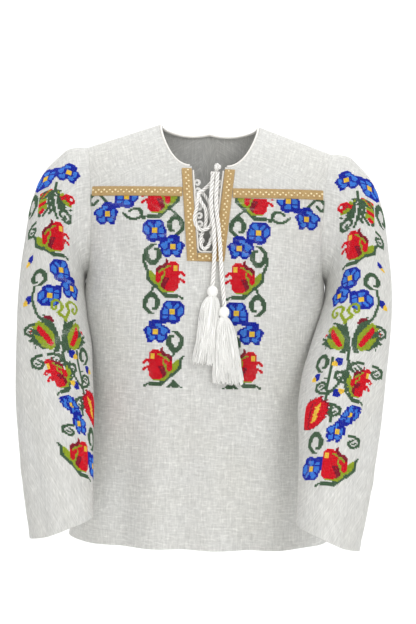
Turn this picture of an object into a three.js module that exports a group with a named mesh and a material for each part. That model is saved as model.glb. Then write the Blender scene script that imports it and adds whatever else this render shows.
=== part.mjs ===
// A Romanian blouse (ie) as worn: a straight body with a yoked front, a laced neck slit, set-in sleeves,
// gold ribbon and two tasselled ties. Millimetres, +Z up, front towards -Y, the wearer's left at +X.
// The origin is where the wearer's shoulders hold it: mid-way between the two shoulder seams' neck ends.
import * as THREE from "three";

// ---- driving sizes -------------------------------------------------------------------------------
const CLOTH = 1.2; // thickness of the linen walls
const SEAM = 0.3; // gap between two pieces at a seam
const RIBBON = { width: 14.5, thick: 1.0 };
const PIPING = 1.3; // radius of the white bound edge of the slit
const NECK_ROLL = 2.0; // radius of the rolled binding of the neck hole
const SLIT = { foot: -205, footHalf: 12.7, markHeight: -120, markHalf: 20.5 };
const YOKE_ROW = 3; // the row of the tables below that is the yoke seam
const UNDERARM_ROW = 6; // and the row that is the underarm
const NECK = { half: 78, frontRow: 2.25, backRow: 1.3 };
const ACROSS = 2.3; // how square a body section is
const LOOP = { radius: 4.6, cord: 1.2, top: -96, pitch: 12.6, count: 8, inset: 6.4, behind: 2.9 };
const LACE = 2.2; // radius of the lacing
const TIE = 2.6; // radius of the two hanging ends

// The armhole is an oval standing beside the shoulder, from the shoulder point down to the underarm.
const ARMHOLE = {
  shoulder: [192, -42],
  underarm: [184, -238],
  front: { deep: 60, inset: 12 },
  back: { deep: 56, inset: 8 },
};

// Body sections, from the shoulder seam down to the hem. arm: degrees round the armhole from the shoulder
// point, where the section ends at it. half, z: half width and height, where it ends at the side seam; the
// underarm has both.
// centre: height on the centre line. depth: reach forwards or backwards there. round: roundness of its end.
const FRONT = [
  { arm: 0, centre: 25, depth: 0, round: 1.2 },
  { arm: 30, centre: -8, depth: 40, round: 1.2 },
  { arm: 55, centre: -58, depth: 69, round: 1.2 },
  { arm: 77, centre: -113, depth: 88, round: 1.25 },
  { arm: 110, centre: -175, depth: 104, round: 1.4 },
  { arm: 145, centre: -217, depth: 112, round: 1.8 },
  { arm: 180, half: 184, z: -238, centre: -240, depth: 116, round: 2.2 },
  { half: 180, z: -285, centre: -285, depth: 119, round: 2.3 },
  { half: 172, z: -345, centre: -345, depth: 116, round: 2.3 },
  { half: 169, z: -415, centre: -415, depth: 112, round: 2.3 },
  { half: 178, z: -490, centre: -490, depth: 116, round: 2.3 },
  { half: 190, z: -565, centre: -565, depth: 123, round: 2.3 },
  { half: 200, z: -640, centre: -640, depth: 128, round: 2.3 },
];
const BACK = [
  { arm: 0, centre: 25, depth: 0, round: 1.2 },
  { arm: 30, centre: 4, depth: 42, round: 1.2 },
  { arm: 55, centre: -44, depth: 70, round: 1.2 },
  { arm: 77, centre: -108, depth: 88, round: 1.25 },
  { arm: 110, centre: -172, depth: 99, round: 1.4 },
  { arm: 145, centre: -216, depth: 102, round: 1.8 },
  { arm: 180, half: 184, z: -238, centre: -240, depth: 102, round: 2.2 },
  { half: 180, z: -285, centre: -285, depth: 99, round: 2.3 },
  { half: 172, z: -345, centre: -345, depth: 92, round: 2.3 },
  { half: 169, z: -415, centre: -415, depth: 90, round: 2.3 },
  { half: 178, z: -490, centre: -490, depth: 102, round: 2.3 },
  { half: 190, z: -565, centre: -565, depth: 114, round: 2.3 },
  { half: 200, z: -640, centre: -640, depth: 119, round: 2.3 },
];

// Soft upright folds of the body. at: place across at the hem, lean: how far it drifts per mm of height,
// wide, deep: its half breadth and its rise, top: where it dies out. A negative deep is a trough.
const FRONT_FOLDS = [
  { at: -158, lean: 0.05, wide: 20, deep: 7, top: -330 },
  { at: -112, lean: 0.04, wide: 17, deep: -6, top: -350 },
  { at: -66, lean: 0.02, wide: 22, deep: 8, top: -300 },
  { at: -22, lean: 0.0, wide: 16, deep: -5, top: -270 },
  { at: 24, lean: -0.01, wide: 21, deep: 7, top: -320 },
  { at: 74, lean: -0.03, wide: 18, deep: -7, top: -290 },
  { at: 118, lean: -0.05, wide: 20, deep: 8, top: -340 },
  { at: 163, lean: -0.06, wide: 17, deep: -5, top: -380 },
];
const BACK_FOLDS = [
  { at: -150, lean: 0.05, wide: 21, deep: 8, top: -300 },
  { at: -98, lean: 0.03, wide: 18, deep: -6, top: -250 },
  { at: -45, lean: 0.02, wide: 22, deep: 7, top: -180 },
  { at: 8, lean: 0.0, wide: 19, deep: -7, top: -160 },
  { at: 60, lean: -0.02, wide: 23, deep: 8, top: -200 },
  { at: 112, lean: -0.04, wide: 18, deep: -6, top: -270 },
  { at: 158, lean: -0.05, wide: 20, deep: 7, top: -330 },
];

// Sleeve sections after the armhole: its inner and outer points and its half depth across them.
const LEFT_SLEEVE = [
  { inner: [187, -3, -244], outer: [224, -3, -50], deep: 65 },
  { inner: [190, -13, -252], outer: [250, -9, -80], deep: 66 },
  { inner: [190, -28, -264], outer: [267, -18, -130], deep: 66 },
  { inner: [185, -52, -282], outer: [274, -34, -194], deep: 65 },
  { inner: [175, -79, -308], outer: [276, -56, -258], deep: 65 },
  { inner: [160, -103, -342], outer: [273, -80, -318], deep: 66 },
  { inner: [147, -124, -382], outer: [268, -106, -374], deep: 66 },
  { inner: [141, -145, -424], outer: [261, -131, -428], deep: 64 },
  { inner: [141, -166, -466], outer: [253, -157, -478], deep: 61 },
  { inner: [140, -189, -508], outer: [243, -183, -528], deep: 58 },
  { inner: [138, -213, -548], outer: [232, -209, -574], deep: 55 },
  { inner: [136, -233, -580], outer: [222, -231, -612], deep: 53 },
];
const RIGHT_SLEEVE = [
  { inner: [187, -2, -244], outer: [224, -2, -50], deep: 66 },
  { inner: [189, -8, -252], outer: [251, -7, -80], deep: 70 },
  { inner: [188, -18, -265], outer: [268, -14, -130], deep: 71 },
  { inner: [184, -32, -284], outer: [276, -24, -194], deep: 70 },
  { inner: [178, -48, -312], outer: [280, -38, -258], deep: 69 },
  { inner: [170, -64, -346], outer: [281, -56, -318], deep: 68 },
  { inner: [165, -82, -386], outer: [279, -76, -374], deep: 66 },
  { inner: [161, -102, -428], outer: [274, -98, -428], deep: 64 },
  { inner: [158, -124, -470], outer: [266, -122, -480], deep: 61 },
  { inner: [155, -148, -512], outer: [256, -148, -530], deep: 58 },
  { inner: [152, -172, -552], outer: [245, -174, -576], deep: 55 },
  { inner: [149, -194, -584], outer: [235, -197, -614], deep: 53 },
];
// Folds that run down a sleeve. turn: degrees round from the outer point, twist: degrees more per section,
// wide: half breadth in degrees, deep: rise, from and to: the sections between which it lives.
const SLEEVE_FOLDS = [
  { turn: 20, twist: 4, wide: 15, deep: 4, from: 1, to: 9 },
  { turn: 135, twist: -4, wide: 14, deep: 4, from: 4, to: 9 },
  { turn: 200, twist: 3, wide: 15, deep: -4, from: 1, to: 10 },
  { turn: 255, twist: 3, wide: 14, deep: 4, from: 2, to: 11 },
  { turn: 320, twist: -3, wide: 16, deep: 5, from: 1, to: 12 },
  { turn: 60, twist: 1, wide: 13, deep: -3, from: 7, to: 13 },
  { turn: 110, twist: 1, wide: 12, deep: 3, from: 8, to: 13 },
];

// The lacing's way, loop by loop: its side (-1 is the wearer's right), the loop's number from the top, and
// whether it comes out to the front there or goes in behind.
const LACING = [
  { side: -1, loop: 2, out: true },
  { side: 1, loop: 4, out: false },
  { side: -1, loop: 6, out: true },
  { side: 1, loop: 5, out: false },
  { side: -1, loop: 7, out: true },
  { foot: true, x: -2, z: -197 },
  { side: 1, loop: 7, out: false },
  { side: 1, loop: 3, out: true },
  { side: -1, loop: 1, out: false },
];
const KNOT = { x: 13, z: -80, radius: 6.5, lift: 13 };

// The two hanging ends: x where each leaves the knot, half way down and at its tassel's head, the height of that
// head, the half width of the skirt's end, and how far that end lies to one side.
const TIES = [
  { name: "right", leave: 10, middle: 11.5, x: 10.7, head: -262, spread: 13.5, lean: -9 },
  { name: "left", leave: 16.5, middle: 20, x: 28.5, head: -291, spread: 23.5, lean: 9.5 },
];
const TASSEL = { head: 8.2, neck: 5.5, skirt: 101, thick: 6.5, lift: 9.6 };

// ---- small tools ---------------------------------------------------------------------------------
const V = (x, y, z) => new THREE.Vector3(x, y, z);
const rad = THREE.MathUtils.degToRad;
const mix = THREE.MathUtils.lerp;
const between = (v, low, high) => Math.min(high, Math.max(low, v));

// A smooth curve through a list of numbers, read at a fractional place.
function along(list, at) {
  const last = list.length - 1;
  const i = between(Math.floor(at), 0, last - 1);
  const t = at - i;
  const b = list[i];
  const c = list[i + 1];
  const a = i > 0 ? list[i - 1] : 2 * b - c;
  const d = i + 2 <= last ? list[i + 2] : 2 * c - b;
  const bend = 2 * a - 5 * b + 4 * c - d;
  const twist = 3 * b - a - 3 * c + d;
  return b + 0.5 * t * (c - a + t * (bend + t * twist));
}

// 0 before low, 1 after high, smooth between.
function ramp(v, low, high) {
  const t = between((v - low) / (high - low), 0, 1);
  return t * t * (3 - 2 * t);
}

// ---- the body's form -----------------------------------------------------------------------------
// A point of the armhole, by degrees from the shoulder point. way is -1 for the front and 1 for the back.
function armhole(degrees, way) {
  const a = rad(degrees);
  const [xTop, zTop] = ARMHOLE.shoulder;
  const [xLow, zLow] = ARMHOLE.underarm;
  const side = way < 0 ? ARMHOLE.front : ARMHOLE.back;
  const down = (1 - Math.cos(a)) / 2;
  const x = mix(xTop, xLow, down) - side.inset * Math.sin(a);
  return V(x, way * side.deep * Math.sin(a), mix(zTop, zLow, down));
}

// One half of the body, front or back, with its table's columns as lists.
function bodyForm(table, way, folds) {
  const columns = {};
  for (const name of ["arm", "half", "z", "centre", "depth", "round"]) {
    columns[name] = table.map((r) => r[name]);
  }
  columns.arm.length = UNDERARM_ROW + 1;
  columns.half.splice(0, UNDERARM_ROW);
  columns.z.splice(0, UNDERARM_ROW);
  return { way, folds, columns, last: table.length - 1 };
}

// Where a row ends: on the armhole, or on the side seam below it.
function rowEnd(form, row) {
  if (row <= UNDERARM_ROW) return armhole(along(form.columns.arm, row), form.way);
  const below = row - UNDERARM_ROW;
  return V(along(form.columns.half, below), 0, along(form.columns.z, below));
}
const front = bodyForm(FRONT, -1, FRONT_FOLDS);
const back = bodyForm(BACK, 1, BACK_FOLDS);
const HEM = FRONT[FRONT.length - 1].z;

// How far the folds lift the cloth at a place on the body.
function foldLift(folds, x, z) {
  let lift = 0;
  for (const f of folds) {
    const off = (x - f.at - f.lean * (z - HEM)) / f.wide;
    lift += f.deep * ramp(-z, -f.top, -HEM) * Math.exp(-off * off);
  }
  return lift;
}

// The body's middle surface. turn runs from -90 at the right side to 90 at the left, row down the table.
function bodyPoint(form, turn, row) {
  const at = (name) => along(form.columns[name], row);
  const s = Math.sin(rad(turn));
  const c = Math.max(0, Math.cos(rad(turn)));
  const share = Math.abs(s) ** (2 / ACROSS);
  const end = rowEnd(form, row);
  const x = Math.sign(s) * end.x * share;
  const z = mix(at("centre"), end.z, share);
  const start = Math.abs(end.y);
  const y = start + (at("depth") - start) * c ** (2 / at("round"));
  const lift = foldLift(form.folds, x, z) * c ** 0.5;
  return V(x, form.way * (y + lift + SEAM / 2), z);
}

// The turn at which a row reaches a given distance from the centre line.
function turnAt(form, x, row) {
  const share = between(Math.abs(x) / rowEnd(form, row).x, 0, 1);
  return Math.sign(x) * THREE.MathUtils.radToDeg(Math.asin(share ** (ACROSS / 2)));
}

// The row that passes a height, at a distance from the centre line.
function rowAt(form, x, z) {
  let low = 0;
  let high = form.last;
  for (let i = 0; i < 40; i++) {
    const row = (low + high) / 2;
    if (bodyPoint(form, turnAt(form, x, row), row).z > z) low = row;
    else high = row;
  }
  return (low + high) / 2;
}

// A point lifted off a surface by its slopes, measured over a small reach that stays within the box.
function lifted(surface, u, v, lift, box, outward) {
  const [du, dv] = box.reach;
  const [u0, u1] = [between(u - du, box.u[0], box.u[1]), between(u + du, box.u[0], box.u[1])];
  const [v0, v1] = [between(v - dv, box.v[0], box.v[1]), between(v + dv, box.v[0], box.v[1])];
  const across = surface(u1, v).sub(surface(u0, v));
  const down = surface(u, v1).sub(surface(u, v0));
  const normal = across.cross(down).normalize().multiplyScalar(outward);
  return surface(u, v).addScaledVector(normal, lift);
}

// A point of a body panel's wall. Its seams stay flat: no face crosses a side seam or the armhole's plane.
function onBody(form, turn, row, lift) {
  const surface = (u, v) => bodyPoint(form, u, v);
  const box = { u: [-90, 90], v: [0, form.last], reach: [2, 0.03] };
  const p = lifted(surface, turn, row, lift, box, form.way);
  p.y = form.way * Math.max(form.way * p.y, SEAM / 2);
  if (row < UNDERARM_ROW) {
    const reach = rowEnd(form, row).x;
    p.x = between(p.x, -reach, reach);
  }
  return p;
}

// The front's surface by distance from the centre line and by height.
const onFront = (x, z, lift) => {
  const row = rowAt(front, x, z);
  return onBody(front, turnAt(front, x, row), row, lift);
};

// Half width of the slit at a height.
function slitHalf(z) {
  const slope = (SLIT.markHalf - SLIT.footHalf) / (SLIT.markHeight - SLIT.foot);
  return SLIT.footHalf + slope * (z - SLIT.foot);
}
const SLIT_FOOT_ROW = rowAt(front, 0, SLIT.foot);

// Where the cloth begins beside the centre line: the slit's edge below, the neck hole above.
function innerEdge(form, row) {
  const lowest = form === front ? NECK.frontRow : NECK.backRow;
  const slit = form === front ? slitHalf(bodyPoint(front, 0, Math.max(row, lowest)).z) : 0;
  if (row >= lowest) return slit;
  return slit + (NECK.half - slit) * Math.sqrt(1 - (row / lowest) ** 2);
}

// ---- closed walls --------------------------------------------------------------------------------
// A closed wall from a grid: corner(i, k, side) gives the point of row i and column k, side 1 on the outer
// face and -1 on the inner. cell(i, k) says whether the cloth is there. A ring joins its last column to its first.
function wall(rows, columns, corner, { ring = false, cell = () => true } = {}) {
  const points = [];
  const index = new Map();
  const at = (i, k, side) => {
    const column = ring ? k % columns : k;
    const key = `${i},${column},${side}`;
    if (!index.has(key)) {
      index.set(key, points.length / 3);
      points.push(...corner(i, column, side).toArray());
    }
    return index.get(key);
  };
  const faces = [];
  const quad = (a, b, c, d) => faces.push(a, b, c, a, c, d);
  const there = (i, k) => {
    if (i < 0 || i >= rows) return false;
    if (!ring && (k < 0 || k >= columns)) return false;
    return cell(i, ring ? (k + columns) % columns : k);
  };
  for (let i = 0; i < rows; i++) {
    for (let k = 0; k < columns; k++) {
      if (!there(i, k)) continue;
      quad(at(i, k, 1), at(i + 1, k, 1), at(i + 1, k + 1, 1), at(i, k + 1, 1));
      quad(at(i, k, -1), at(i, k + 1, -1), at(i + 1, k + 1, -1), at(i + 1, k, -1));
      if (!there(i - 1, k)) quad(at(i, k, 1), at(i, k + 1, 1), at(i, k + 1, -1), at(i, k, -1));
      if (!there(i + 1, k)) {
        quad(at(i + 1, k + 1, 1), at(i + 1, k, 1), at(i + 1, k, -1), at(i + 1, k + 1, -1));
      }
      if (!there(i, k - 1)) quad(at(i + 1, k, 1), at(i, k, 1), at(i, k, -1), at(i + 1, k, -1));
      if (!there(i, k + 1)) {
        quad(at(i, k + 1, 1), at(i + 1, k + 1, 1), at(i + 1, k + 1, -1), at(i, k + 1, -1));
      }
    }
  }
  return outwards(points, faces);
}

// A geometry whose faces point out: they are turned round if the volume they hold comes out negative.
function outwards(points, faces) {
  let volume = 0;
  const p = (i) => V(points[3 * i], points[3 * i + 1], points[3 * i + 2]);
  for (let f = 0; f < faces.length; f += 3) {
    volume += p(faces[f]).dot(p(faces[f + 1]).cross(p(faces[f + 2])));
  }
  if (volume < 0) {
    for (let f = 0; f < faces.length; f += 3) [faces[f + 1], faces[f + 2]] = [faces[f + 2], faces[f + 1]];
  }
  const geometry = new THREE.BufferGeometry();
  geometry.setAttribute("position", new THREE.Float32BufferAttribute(points, 3));
  geometry.setIndex(faces);
  geometry.computeVertexNormals();
  return geometry;
}

// A closed body through rings of points; its two ends are closed by a point at their middle.
function spindle(rings) {
  const points = rings.flat().flatMap((p) => p.toArray());
  const n = rings[0].length;
  const faces = [];
  for (let i = 0; i + 1 < rings.length; i++) {
    for (let k = 0; k < n; k++) {
      const a = i * n + k;
      const b = i * n + ((k + 1) % n);
      faces.push(a, b, b + n, a, b + n, a + n);
    }
  }
  const cap = (ring, start, flip) => {
    const middle = ring.reduce((sum, p) => sum.add(p), V(0, 0, 0)).divideScalar(n);
    const m = points.length / 3;
    points.push(...middle.toArray());
    for (let k = 0; k < n; k++) {
      const [a, b] = [start + k, start + ((k + 1) % n)];
      faces.push(...(flip ? [m, b, a] : [m, a, b]));
    }
  };
  cap(rings[0], 0, true);
  cap(rings[rings.length - 1], (rings.length - 1) * n, false);
  return outwards(points, faces);
}

// A round tube through a list of points, one ring of eight corners at each, square to the way it runs.
function tube(route, radius) {
  const rings = [];
  let side = null;
  route.forEach((p, i) => {
    const before = route[Math.max(0, i - 1)];
    const after = route[Math.min(route.length - 1, i + 1)];
    const ahead = after.clone().sub(before).normalize();
    if (!side) side = V(0.3, 0.9, 0.2);
    side = side.clone().addScaledVector(ahead, -side.dot(ahead)).normalize();
    const other = ahead.clone().cross(side);
    rings.push(
      Array.from({ length: 8 }, (_, k) => {
        const a = (Math.PI * k) / 4;
        const corner = side.clone().multiplyScalar(Math.cos(a)).addScaledVector(other, Math.sin(a));
        return corner.multiplyScalar(radius).add(p);
      }),
    );
  });
  return spindle(rings);
}

// Points at even steps along a smooth route.
function smooth(route, count) {
  return new THREE.CatmullRomCurve3(route, false, "centripetal").getSpacedPoints(count);
}

// ---- materials and naming ------------------------------------------------------------------------
const finish = (color, roughness, metalness = 0) =>
  new THREE.MeshStandardMaterial({ color, roughness, metalness });
const LINEN = finish(0xe9e7e1, 0.9);
const GOLD = finish(0xc9a45c, 0.45, 0.4);
const WHITE_CORD = finish(0xf3f2ee, 0.75);

const blouse = new THREE.Group();
function add(name, geometry, material) {
  const mesh = new THREE.Mesh(geometry, material);
  mesh.name = name;
  blouse.add(mesh);
}

// ---- body panels ---------------------------------------------------------------------------------
const evenly = (from, to, count) => Array.from({ length: count + 1 }, (_, i) => mix(from, to, i / count));
// Rows down to the lowest row of a neck hole, closer together where its edge runs level.
const neckRows = (lowest, count) => evenly(0, 90, count).map((a) => lowest * Math.sin(rad(a)));
const OUTER = 10; // columns of a panel from the slit or the middle to its side
const SEAM_ROW = SEAM / 2 / 58; // half a seam's gap, in rows
const SLEEVE_GAP = 0.45 / 42; // the gap between two lengths of a sleeve, in rows
const ELBOW = 5.5; // rows at which the lengths of a sleeve meet
const FOREARM = 9;

// Columns run from the right side, over the middle one, to the left side. edge gives the distance from the
// centre line at which the columns beside the middle stand.
function panelTurn(form, k, row, edge) {
  const from = k - (OUTER + 1);
  if (from === 0) return 0;
  const out = (Math.abs(from) - 1) / OUTER;
  return Math.sign(from) * mix(turnAt(form, edge, row), 90, out);
}

// The lower front: a grid whose middle columns stop at the slit's foot.
function frontPanel() {
  const beside = evenly(YOKE_ROW + SEAM_ROW, SLIT_FOOT_ROW, 4);
  const below = evenly(SLIT_FOOT_ROW, front.last, 14).slice(1);
  const rows = [...beside, ...below];
  const corner = (i, k, side) => {
    const edge = innerEdge(front, Math.min(rows[i], SLIT_FOOT_ROW));
    return onBody(front, panelTurn(front, k, rows[i], edge), rows[i], (side * CLOTH) / 2);
  };
  const cell = (i, k) => i >= beside.length - 1 || (k !== OUTER && k !== OUTER + 1);
  return wall(rows.length - 1, 2 * OUTER + 2, corner, { cell });
}

// One front yoke, from the shoulder seam down to the yoke seam. side of the body: 1 is the wearer's left.
function yoke(hand) {
  const rows = [...neckRows(NECK.frontRow, 8), ...evenly(NECK.frontRow, YOKE_ROW - SEAM_ROW, 2).slice(1)];
  const corner = (i, k, side) => {
    const inner = turnAt(front, innerEdge(front, rows[i]), rows[i]);
    return onBody(front, hand * mix(inner, 90, k / OUTER), rows[i], (side * CLOTH) / 2);
  };
  return wall(rows.length - 1, OUTER, corner);
}

// The back, in one piece from the shoulder seams to the hem, with the neck hole in its top edge.
function backPanel() {
  const top = neckRows(NECK.backRow, 4);
  const rows = [...top, ...evenly(NECK.backRow, 6, 6).slice(1), ...evenly(6, back.last, 10).slice(1)];
  const neck = top.length - 1;
  const corner = (i, k, side) => {
    const edge = Math.max(innerEdge(back, rows[i]), 12);
    return onBody(back, panelTurn(back, k, rows[i], edge), rows[i], (side * CLOTH) / 2);
  };
  const cell = (i, k) => i >= neck || (k !== OUTER && k !== OUTER + 1);
  return wall(rows.length - 1, 2 * OUTER + 2, corner, { cell });
}

// ---- sleeves -------------------------------------------------------------------------------------
function sleeveForm(table, hand) {
  const columns = { deep: table.map((r) => r.deep) };
  for (const point of ["inner", "outer"]) {
    for (let axis = 0; axis < 3; axis++) columns[point + axis] = table.map((r) => r[point][axis]);
  }
  return { hand, columns, last: table.length };
}

// A sleeve section: turn degrees round from its outer point, by way of the front, at a row of its table.
function ringPoint(form, turn, row) {
  const at = (name) => along(form.columns[name], row);
  const inner = V(at("inner0"), at("inner1"), at("inner2"));
  const outer = V(at("outer0"), at("outer1"), at("outer2"));
  const middle = inner.clone().add(outer).multiplyScalar(0.5);
  const across = outer.clone().sub(inner).multiplyScalar(0.5);
  const toBack = V(0, 1, 0).addScaledVector(across, -across.y / across.lengthSq()).normalize();
  const a = rad(turn);
  return middle.addScaledVector(across, Math.cos(a)).addScaledVector(toBack, -Math.sin(a) * at("deep"));
}

// A sleeve's middle surface: row 0 is the armhole, row 1 the first section of the table, and so on.
function sleevePoint(form, turn, row) {
  const t = Math.min(row, 1);
  let p = ringPoint(form, turn, Math.max(0, row - 1));
  if (t < 1) {
    const start = turn <= 180 ? armhole(turn, -1) : armhole(360 - turn, 1);
    start.x += SEAM + 0.5;
    const leaving = V(0.9 * start.distanceTo(p), 0, 0);
    const arriving = ringPoint(form, turn, 1).sub(p);
    const far = 3 * t ** 2 - 2 * t ** 3;
    p = p.multiplyScalar(far).addScaledVector(start, 1 - far);
    p.addScaledVector(leaving, t - 2 * t ** 2 + t ** 3).addScaledVector(arriving, t ** 3 - t ** 2);
  }
  return V(form.hand * p.x, p.y, p.z);
}

function sleeveLift(turn, row) {
  let lift = 0;
  for (const f of SLEEVE_FOLDS) {
    const middle = f.turn + f.twist * (row - f.from);
    const off = ((((turn - middle) % 360) + 540) % 360) - 180;
    const alive = ramp(row, f.from, f.from + 2) * (1 - ramp(row, f.to - 1.5, f.to + 0.5));
    lift += f.deep * alive * Math.exp(-((off / f.wide) ** 2));
  }
  return lift;
}

// A point of a sleeve's wall. Its first edge stays in the armhole's own plane.
function onSleeve(form, turn, row, lift) {
  const box = { u: [-1e4, 1e4], v: [0, form.last], reach: [2, 0.03] };
  const surface = (u, v) => sleevePoint(form, ((u % 360) + 360) % 360, v);
  const p = lifted(surface, turn, row, sleeveLift(turn, row) + lift, box, form.hand);
  if (row === 0) p.x = surface(turn, 0).x;
  return p;
}

// One length of a sleeve's wall, through the rows given.
function sleeveLength(form, rows) {
  const around = 20;
  const corner = (i, k, side) => onSleeve(form, (360 * k) / around, rows[i], (side * CLOTH) / 2);
  return wall(rows.length - 1, around, corner, { ring: true });
}

// A sleeve is one cut of cloth, and its wall comes in three lengths that meet at ELBOW and FOREARM, each of
// them nearly straight, so that the pieces used for collision can leave its hollow open.
function sleeveLengths(form) {
  const half = SLEEVE_GAP / 2;
  return [
    ["upper", [...evenly(0, 1, 3), ...evenly(1, ELBOW - half, 6).slice(1)]],
    ["middle", evenly(ELBOW + half, FOREARM - half, 4)],
    ["lower", evenly(FOREARM + half, form.last, 4)],
  ].map(([name, rows]) => [name, sleeveLength(form, rows)]);
}

// ---- bound edges and ribbon ----------------------------------------------------------------------
// The slit's bound edge: down one side, round the foot's two soft corners and up the other.
function slitBinding() {
  const off = PIPING + SEAM;
  const top = -80;
  const foot = SLIT.foot + off;
  const bend = 5;
  const side = (z) => slitHalf(z) - off;
  const half = evenly(top, foot + bend, 10).map((z) => [side(z), z]);
  for (const a of [30, 60, 90]) {
    half.push([side(foot) - bend * (1 - Math.cos(rad(a))), foot + bend * (1 - Math.sin(rad(a)))]);
  }
  const route = [...half.map(([x, z]) => [-x, z]), ...half.reverse()];
  return tube(route.map(([x, z]) => onFront(x, z, 0)), PIPING);
}

// The neck hole's rolled binding: from the slit's right top corner over both shoulders to its left one.
function neckBinding() {
  const off = NECK_ROLL + SEAM + 0.3;
  const edge = [];
  const put = (form, hand, row) => {
    edge.push(onBody(form, hand * turnAt(form, innerEdge(form, row), row), row, 0));
  };
  const down = neckRows(NECK.frontRow, 8).slice(0, -1);
  const behind = neckRows(NECK.backRow, 4);
  for (const row of [...down].reverse()) put(front, -1, row);
  for (const row of behind.slice(1)) put(back, -1, row);
  for (const row of [...behind].reverse().slice(1)) put(back, 1, row);
  for (const row of down.slice(1)) put(front, 1, row);
  const heart = V(0, 8, -20);
  const route = edge.map((p, i) => {
    const way = edge[Math.min(i + 1, edge.length - 1)].clone().sub(edge[Math.max(i - 1, 0)]).normalize();
    const inward = heart.clone().sub(p);
    inward.addScaledVector(way, -inward.dot(way)).normalize();
    return p.clone().addScaledVector(inward, off);
  });
  return tube(route, NECK_ROLL);
}

// A ribbon lies on the front: place(i, across) gives x and z, across from 0 to 1 over its width.
function ribbon(lengths, widths, place) {
  const corner = (i, k, side) => {
    const [x, z] = place(i / lengths, k / widths);
    return onFront(x, z, CLOTH / 2 + 0.7 + RIBBON.thick / 2 + (side * RIBBON.thick) / 2);
  };
  return wall(lengths, widths, corner);
}
const RIBBON_INSET = 0.8; // from the slit's edge to the ribbon beside it
const RIBBON_FOOT = SLIT.foot - 1.2 - 11.5;

// ---- loops, lacing, ties and tassels -------------------------------------------------------------
function loopMiddle(loop) {
  const z = LOOP.top - LOOP.pitch * loop;
  return { x: slitHalf(z) - LOOP.inset, z };
}

function loopRing(hand, loop) {
  const { x, z } = loopMiddle(loop);
  const ring = new THREE.TorusGeometry(LOOP.radius, LOOP.cord, 6, 10);
  const middle = onFront(hand * x, z, -LOOP.behind);
  const outward = onFront(hand * x, z, 0).sub(middle).normalize();
  ring.applyQuaternion(new THREE.Quaternion().setFromUnitVectors(V(0, 0, 1), outward));
  return ring.translate(middle.x, middle.y, middle.z);
}

// The lacing's way round a loop's inner side: out of its hole to the front, or in through it to behind.
function roundLoop({ side, loop, out }) {
  const { x, z } = loopMiddle(loop);
  const turns = out ? [-90, -60, -30, 0, 30, 60, 90] : [90, 60, 30, 0, -30, -60, -90];
  return turns.map((a) => {
    const far = x - LOOP.radius + LOOP.radius * Math.cos(rad(a));
    return onFront(side * far, z, -LOOP.behind + LOOP.radius * Math.sin(rad(a)));
  });
}

// The lacing: out of the back of the knot, down through the loops to the slit's foot and up again.
function lacing() {
  const route = [onFront(5, -88, 8), onFront(2, -95, 1), onFront(-3, -106, -6.5)];
  LACING.forEach((place, i) => {
    if (place.foot) route.push(onFront(place.x, place.z, 2.2));
    else route.push(...roundLoop(place));
    const next = LACING[i + 1];
    const climbs = place.side === 1 && next && next.side === 1;
    if (climbs) {
      for (const loop of [6, 5, 4]) {
        const { x, z } = loopMiddle(loop);
        route.push(onFront(x + 9, z, -8.5));
      }
    }
  });
  route.push(onFront(-3, -98, -8.5), onFront(6, -87, -6), onFront(12.5, -81, 0), onFront(13, -80, 6.1));
  return tube(route, LACE);
}

// The free ends lie down the front, over the lacing and the ribbon, to their tassels.
function tie({ leave, middle, x, head }) {
  const top = KNOT.z - KNOT.radius - 1;
  const end = head + TASSEL.head + 0.8;
  const half = mix(top, end, 0.55);
  const route = [
    onFront(leave, top, KNOT.lift),
    onFront(leave, top - 22, 9.5),
    onFront(mix(leave, middle, 0.6), -150, 8),
    onFront(middle, half, 8),
    onFront(mix(middle, x, 0.6), -222, 6.5),
    onFront(x, end + 14, 7.5),
    onFront(x, end + 4, TASSEL.lift),
    onFront(x, end, TASSEL.lift),
  ];
  return tube(smooth(route, 24), TIE);
}

// A body of oval rings: each row gives x, height, lift off the cloth, half width and half thickness.
function stacked(rows) {
  return spindle(
    rows.map(([x, z, lift, wide, thick]) => {
      const middle = onFront(x, z, lift);
      return Array.from({ length: 12 }, (_, k) => {
        const a = (Math.PI * k) / 6;
        return V(middle.x + wide * Math.cos(a), middle.y + thick * Math.sin(a), z);
      });
    }),
  );
}

function tasselHead({ x, head }) {
  const rows = [75, 45, 15, -15, -45, -66].map((a) => {
    const r = TASSEL.head * Math.cos(rad(a));
    return [x, head + TASSEL.head * Math.sin(rad(a)), TASSEL.lift, r, r];
  });
  return stacked(rows);
}

function tasselSkirt({ x, head, spread, lean }) {
  const top = head - TASSEL.head - SEAM;
  const rows = [[x, top, TASSEL.lift, 4, 4]];
  for (const t of [0.03, 0.08, 0.25, 0.5, 0.8, 1]) {
    const opened = ramp(t, 0.03, 1.4) / ramp(1, 0.03, 1.4);
    const wide = mix(TASSEL.neck, spread, opened);
    const thick = mix(TASSEL.neck, TASSEL.thick, t);
    rows.push([x + lean * opened, top - TASSEL.skirt * t, TASSEL.lift, wide, thick]);
  }
  return stacked(rows);
}

// ---- the blouse ----------------------------------------------------------------------------------
add("front_panel", frontPanel(), LINEN);
add("yoke_left", yoke(1), LINEN);
add("yoke_right", yoke(-1), LINEN);
add("back_panel", backPanel(), LINEN);
for (const [side, table, hand] of [["left", LEFT_SLEEVE, 1], ["right", RIGHT_SLEEVE, -1]]) {
  for (const [length, wallOfIt] of sleeveLengths(sleeveForm(table, hand))) {
    add(`sleeve_${side}_${length}`, wallOfIt, LINEN);
  }
}
add("slit_binding", slitBinding(), WHITE_CORD);
add("neck_binding", neckBinding(), LINEN);

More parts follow.
